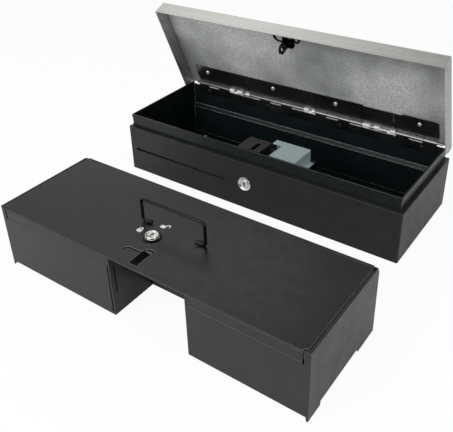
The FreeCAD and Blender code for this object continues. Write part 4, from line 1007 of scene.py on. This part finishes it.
@dataclass
class Lid:
    """The stainless lid, its hinge, springs and striker."""

    bays: tuple[tuple[Span, ...], ...] = (((-147.0, -138.0), (-132.0, -122.0), (-115.0, -107.0)),
                                          ((-4.0, 5.0), (10.0, 16.0)),
                                          ((97.0, 109.0), (115.0, 124.0), (140.0, 149.0)))
    coil_mean: float = 2.72
    wire: float = 0.45
    pitch: float = 1.02
    last_coil_short_deg: float = 146.0
    spring_gap: float = 0.7
    tail_ends: Span = (14.0, 3.6)
    leg_bends: tuple[float, ...] = (0.6, 2.4, 4.6, 20.5, 22.5, 36.0)
    leg_sag: float = 0.5
    slot_offset: float = 2.0
    slot_depth: float = 1.25
    back_face: float = 78.7
    leaf: float = 1.2
    lid_under: float = 99.0
    screw_line: float = 28.0
    screw_places: tuple[float, ...] = (-187.0, -57.0, 54.0, 185.0)
    screw_spins: Span = (25.0, 37.0)
    screw: PanHead = PanHead(radius=3.6, height=1.9, shank_radius=2.0, shank=1.2)

    def build(self, shop: Workshop) -> None:
        """Dresses the lid and adds its springs and screws.

        Args:
            shop: where the pieces are dressed and made.
        """
        shop.dress(("lid_panel",), STAINLESS)
        shop.dress(("hinge_body_leaf", "hinge_pin"), HINGE)
        shop.dress(("hinge_lid_leaf",), LID_HINGE)
        shop.dress(("leaf_rivets",), DEEP_COAT)
        shop.dress(("lid_striker", "striker_rivets"), DARK_STEEL)
        self.springs(shop)
        self.screws(shop)

    def pin(self) -> Vector:
        """The middle of the hinge pin, in mm."""
        low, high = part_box("hinge_pin")
        return (low + high) / (2 * MM)

    def opened(self, point: Vector) -> Vector:
        """Moves a point given on the shut lid to where the open lid has it."""
        pin = self.pin()
        return pin + Matrix.Rotation(-LID_OPEN, 3, "X") @ (point - pin)

    def springs(self, shop: Workshop) -> None:
        """Winds a torsion spring into each bay, between the back wall and the lid.

        Its coils and its tail, down the back wall, stay with the housing. Its leg rides on the lid,
        where it bends into the slot in the hinge's leaf.

        Args:
            shop: where the pieces are made.
        """
        coils, tails, legs = bmesh.new(), bmesh.new(), bmesh.new()
        pin = self.pin()
        down_y = self.back_face - self.leaf - self.spring_gap
        leaf_z = self.lid_under - self.leaf - self.spring_gap
        slot_z = leaf_z + self.slot_depth
        leave_y, bend_y, lie_y, edge_y, sink_y, tip_y = (pin.y - bend for bend in self.leg_bends)
        for coil_spans in self.bays:
            first = coil_spans[0][0]
            tail = [Vector((first, down_y, pin.z - drop)) for drop in self.tail_ends]
            sweep(tails, [*tail, Vector((first, pin.y - self.coil_mean, pin.z))], self.wire)
            path = []
            for start, end in coil_spans:
                wound = 360 * round((end - start) / self.pitch)
                if (start, end) == coil_spans[-1]:
                    wound = self.last_coil_short_deg - wound
                pitch = (end - start) / (abs(wound) / 360)
                path += turns(Vector((start, pin.y, pin.z)), self.coil_mean, pitch, wound)
            sweep(coils, path, self.wire)
            x = path[-1].x
            slot_x = x - self.slot_offset
            leg = [Vector((x, leave_y, pin.z + self.coil_mean)),
                   Vector((x, bend_y, leaf_z - self.leg_sag)),
                   Vector((x, lie_y, leaf_z)), Vector((slot_x, edge_y, leaf_z)),
                   Vector((slot_x, sink_y, slot_z)), Vector((slot_x, tip_y, slot_z))]
            sweep(legs, [self.opened(p) for p in leg], self.wire)
        # The coils are dressed near white as a painted highlight, and the tails and legs of the same wire
        # black as painted shade.
        shop.add("lid_spring_coils", coils, SPRING, "housing", stands_for=("lid_springs",))
        shop.add("lid_spring_tails", tails, BLACK_WIRE, "housing")
        shop.add("lid_spring_legs", legs, BLACK_WIRE, "lid")

    def screws(self, shop: Workshop) -> None:
        """Draws the screws that hold the hinge's leaf to the lid.

        Args:
            shop: where the piece is made.
        """
        shape = bmesh.new()
        pin = self.pin()
        seat_z = self.lid_under - self.leaf
        way = Matrix.Rotation(-LID_OPEN, 3, "X") @ Vector((0, 0, -1))
        first_spin, next_spin = self.screw_spins
        for k, x in enumerate(self.screw_places):
            seat = self.opened(Vector((x, pin.y - self.screw_line, seat_z)))
            self.screw.draw(shape, seat, way, first_spin + next_spin * k)
        shop.add("lid_screw_heads", shape, FASTENER, "lid", stands_for=("lid_screws",))


@dataclass
class LatchWork:
    """The bench, its hood and plate, the solenoid and the lever."""

    plate: float = 1.2
    table_top: float = 70.0
    floor_top: float = 2.0
    foot_places: tuple[Span, ...] = ((68.4, -33.0), (16.0, -19.0), (52.0, -19.0), (-25.4, -50.0))
    foot_spins: Span = (0.0, 50.0)
    foot_screw: PanHead = PanHead(radius=2.6, height=1.6, shank_radius=1.35, shank=2.4)
    floor_places: tuple[Span, ...] = ((-19.0, -58.0), (60.0, -58.0))
    floor_spins: Span = (20.0, 30.0)
    floor_screw: PanHead = PanHead(radius=3.4, height=2.0, shank_radius=1.6, shank=2.2)
    spring_pitch: float = 1.6
    spring_wire: float = 0.5

    def build(self, shop: Workshop) -> None:
        """Dresses the latch work and adds its screws and return spring.

        Args:
            shop: where the pieces are dressed and made.
        """
        shop.dress(("mechanism_frame",), DEEP_COAT)
        shop.dress(("latch_cover",), PLATE)
        shop.dress(("solenoid_bracket", "solenoid_frame"), ZINC)
        shop.dress(("latch_lever", "solenoid_plunger"), DARK_STEEL)
        shop.dress(("solenoid_coil",), TAPE)
        shop.dress(("plunger_pin", "lever_pin"), DARK_STEEL)
        self.screws(shop)
        self.spring(shop)

    def screws(self, shop: Workshop) -> None:
        """Draws the screws in the bench's table, and those in the drawer's floor.

        Args:
            shop: where the piece is made.
        """
        shape = bmesh.new()
        rows = ((self.foot_screw, self.foot_places, self.table_top, self.foot_spins),
                (self.floor_screw, self.floor_places, self.floor_top, self.floor_spins))
        for screw, places, under, (first_spin, next_spin) in rows:
            for k, (x, y) in enumerate(places):
                seat = Vector((x, y, under + self.plate))
                screw.draw(shape, seat, Vector((0, 0, 1)), first_spin + next_spin * k)
        shop.add("latch_work_screws", shape, ZINC, "housing", stands_for=("mechanism_screws",))

    def spring(self, shop: Workshop) -> None:
        """Winds the plunger's return spring.

        Args:
            shop: where the piece is made.
        """
        low, high = (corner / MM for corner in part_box("plunger_spring"))
        mean = (high.z - low.z) / 2 - self.spring_wire
        start = Vector((low.x + self.spring_wire, (low.y + high.y) / 2, (low.z + high.z) / 2))
        length = high.x - low.x - 2 * self.spring_wire
        shape = bmesh.new()
        coil = turns(start, mean, self.spring_pitch, 360 * length / self.spring_pitch)
        sweep(shape, coil, self.spring_wire)
        piece = shop.add("plunger_return_spring", shape, DARK_STEEL, None, stands_for=("plunger_spring",))
        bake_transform(piece)


@dataclass
class Locks:
    """The drawer's key lock and the till's."""

    def build(self, shop: Workshop) -> None:
        """Dresses both locks.

        Args:
            shop: where the pieces are dressed and made.
        """
        shop.dress(("drawer_lock_body", "drawer_lock_plug", "till_lock_plug"), CHROME)
        shop.dress(("till_lock_body",), COLLAR)
        shop.dress(("drawer_lock_nut", "drawer_lock_cam", "drawer_cam_screw"), FASTENER)
        shop.dress(("till_lock_nut", "till_lock_cam", "till_cam_screw"), DARK_STEEL)


class Shackle(Enum):
    """How a padlock sign's shackle stands."""

    SHUT = 0
    OPEN = 1


@dataclass
class Till:
    """The lift-out till: case, ends, cover, handle and coin tray."""

    shut_sign: Span = (-22.0, 2.0)
    open_sign: Span = (-3.0, 23.0)
    sign_body: Span = (7.0, 5.4)
    sign_corner: float = 1.0
    corner_turns: tuple[float, ...] = (-0.6, -0.2, 0.2, 0.6)
    shackle_mean: float = 2.1
    shackle_stroke: float = 0.75
    shackle_lift: float = 0.8
    shackle_foot: float = 1.0
    shackle_steps: int = 12
    swung: float = 1.55
    ink: float = 0.06

    def build(self, shop: Workshop) -> None:
        """Dresses the till and prints the two signs by its lock.

        Args:
            shop: where the pieces are dressed and made.
        """
        shop.dress(("till_case", "till_left_end", "till_right_end", "note_dividers"), COAT)
        shop.dress(("till_cover",), COVER_COAT)
        shop.dress(("till_hinge_pin", "handle_saddles", "saddle_rivets"), DARK_STEEL)
        shop.dress(("till_handle",), BLACK_WIRE)
        shop.dress(("coin_tray",), TRAY)
        self.sign(shop, "till_sign_shut", self.shut_sign, Shackle.SHUT)
        self.sign(shop, "till_sign_open", self.open_sign, Shackle.OPEN)

    def sign(self, shop: Workshop, name: str, place: Span, shackle: Shackle) -> None:
        """Prints a plain padlock sign on the cover.

        Args:
            shop: where the piece is made.
            name: the piece's name.
            place: where it is from the lock, in mm.
            shackle: whether it stands shut or swung open.
        """
        low, high = (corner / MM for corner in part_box("till_lock_body"))
        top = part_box("till_case")[1].z / MM
        middle = Vector(((low.x + high.x) / 2 + place[0], (low.y + high.y) / 2 + place[1], top))
        shape = bmesh.new()
        wide, tall = self.sign_body[0] / 2, self.sign_body[1] / 2
        outline = []
        for sx, sy in ((1, 1), (-1, 1), (-1, -1), (1, -1)):
            corner = middle + Vector((sx * (wide - self.sign_corner), sy * (tall - self.sign_corner), 0))
            for turn in self.corner_turns:
                angle = math.atan2(sy, sx) + turn
                outline.append(corner + self.sign_corner * Vector((math.cos(angle), math.sin(angle), 0)))
        slab(shape, outline, self.ink)
        aside = wide * self.swung if shackle is Shackle.OPEN else 0.0
        base = middle + Vector((aside, tall + self.shackle_lift, 0))
        rays = [Vector((math.cos(a), math.sin(a), 0)) for a in
                (math.pi * k / self.shackle_steps for k in range(self.shackle_steps + 1))]
        outer = [base + (self.shackle_mean + self.shackle_stroke) * ray for ray in rays]
        inner = [base + (self.shackle_mean - self.shackle_stroke) * ray for ray in rays]
        drop = Vector((0, self.shackle_foot, 0))
        outline = [outer[0] - drop, *outer, outer[-1] - drop,
                   inner[-1] - drop, *reversed(inner), inner[0] - drop]
        slab(shape, outline, self.ink)
        shop.add(name, shape, INK, "till_cover", smooth=False)


def main() -> None:
    """Builds the studio, then every sub-assembly."""
    logging.basicConfig(level=logging.INFO, format="%(message)s")
    bpy.context.scene.view_settings.view_transform = "Standard"
    Studio().build()
    shop = Workshop()
    for part in (Housing(), Lid(), LatchWork(), Locks(), Till()):
        part.build(shop)


if __name__ == "__main__":
    main()
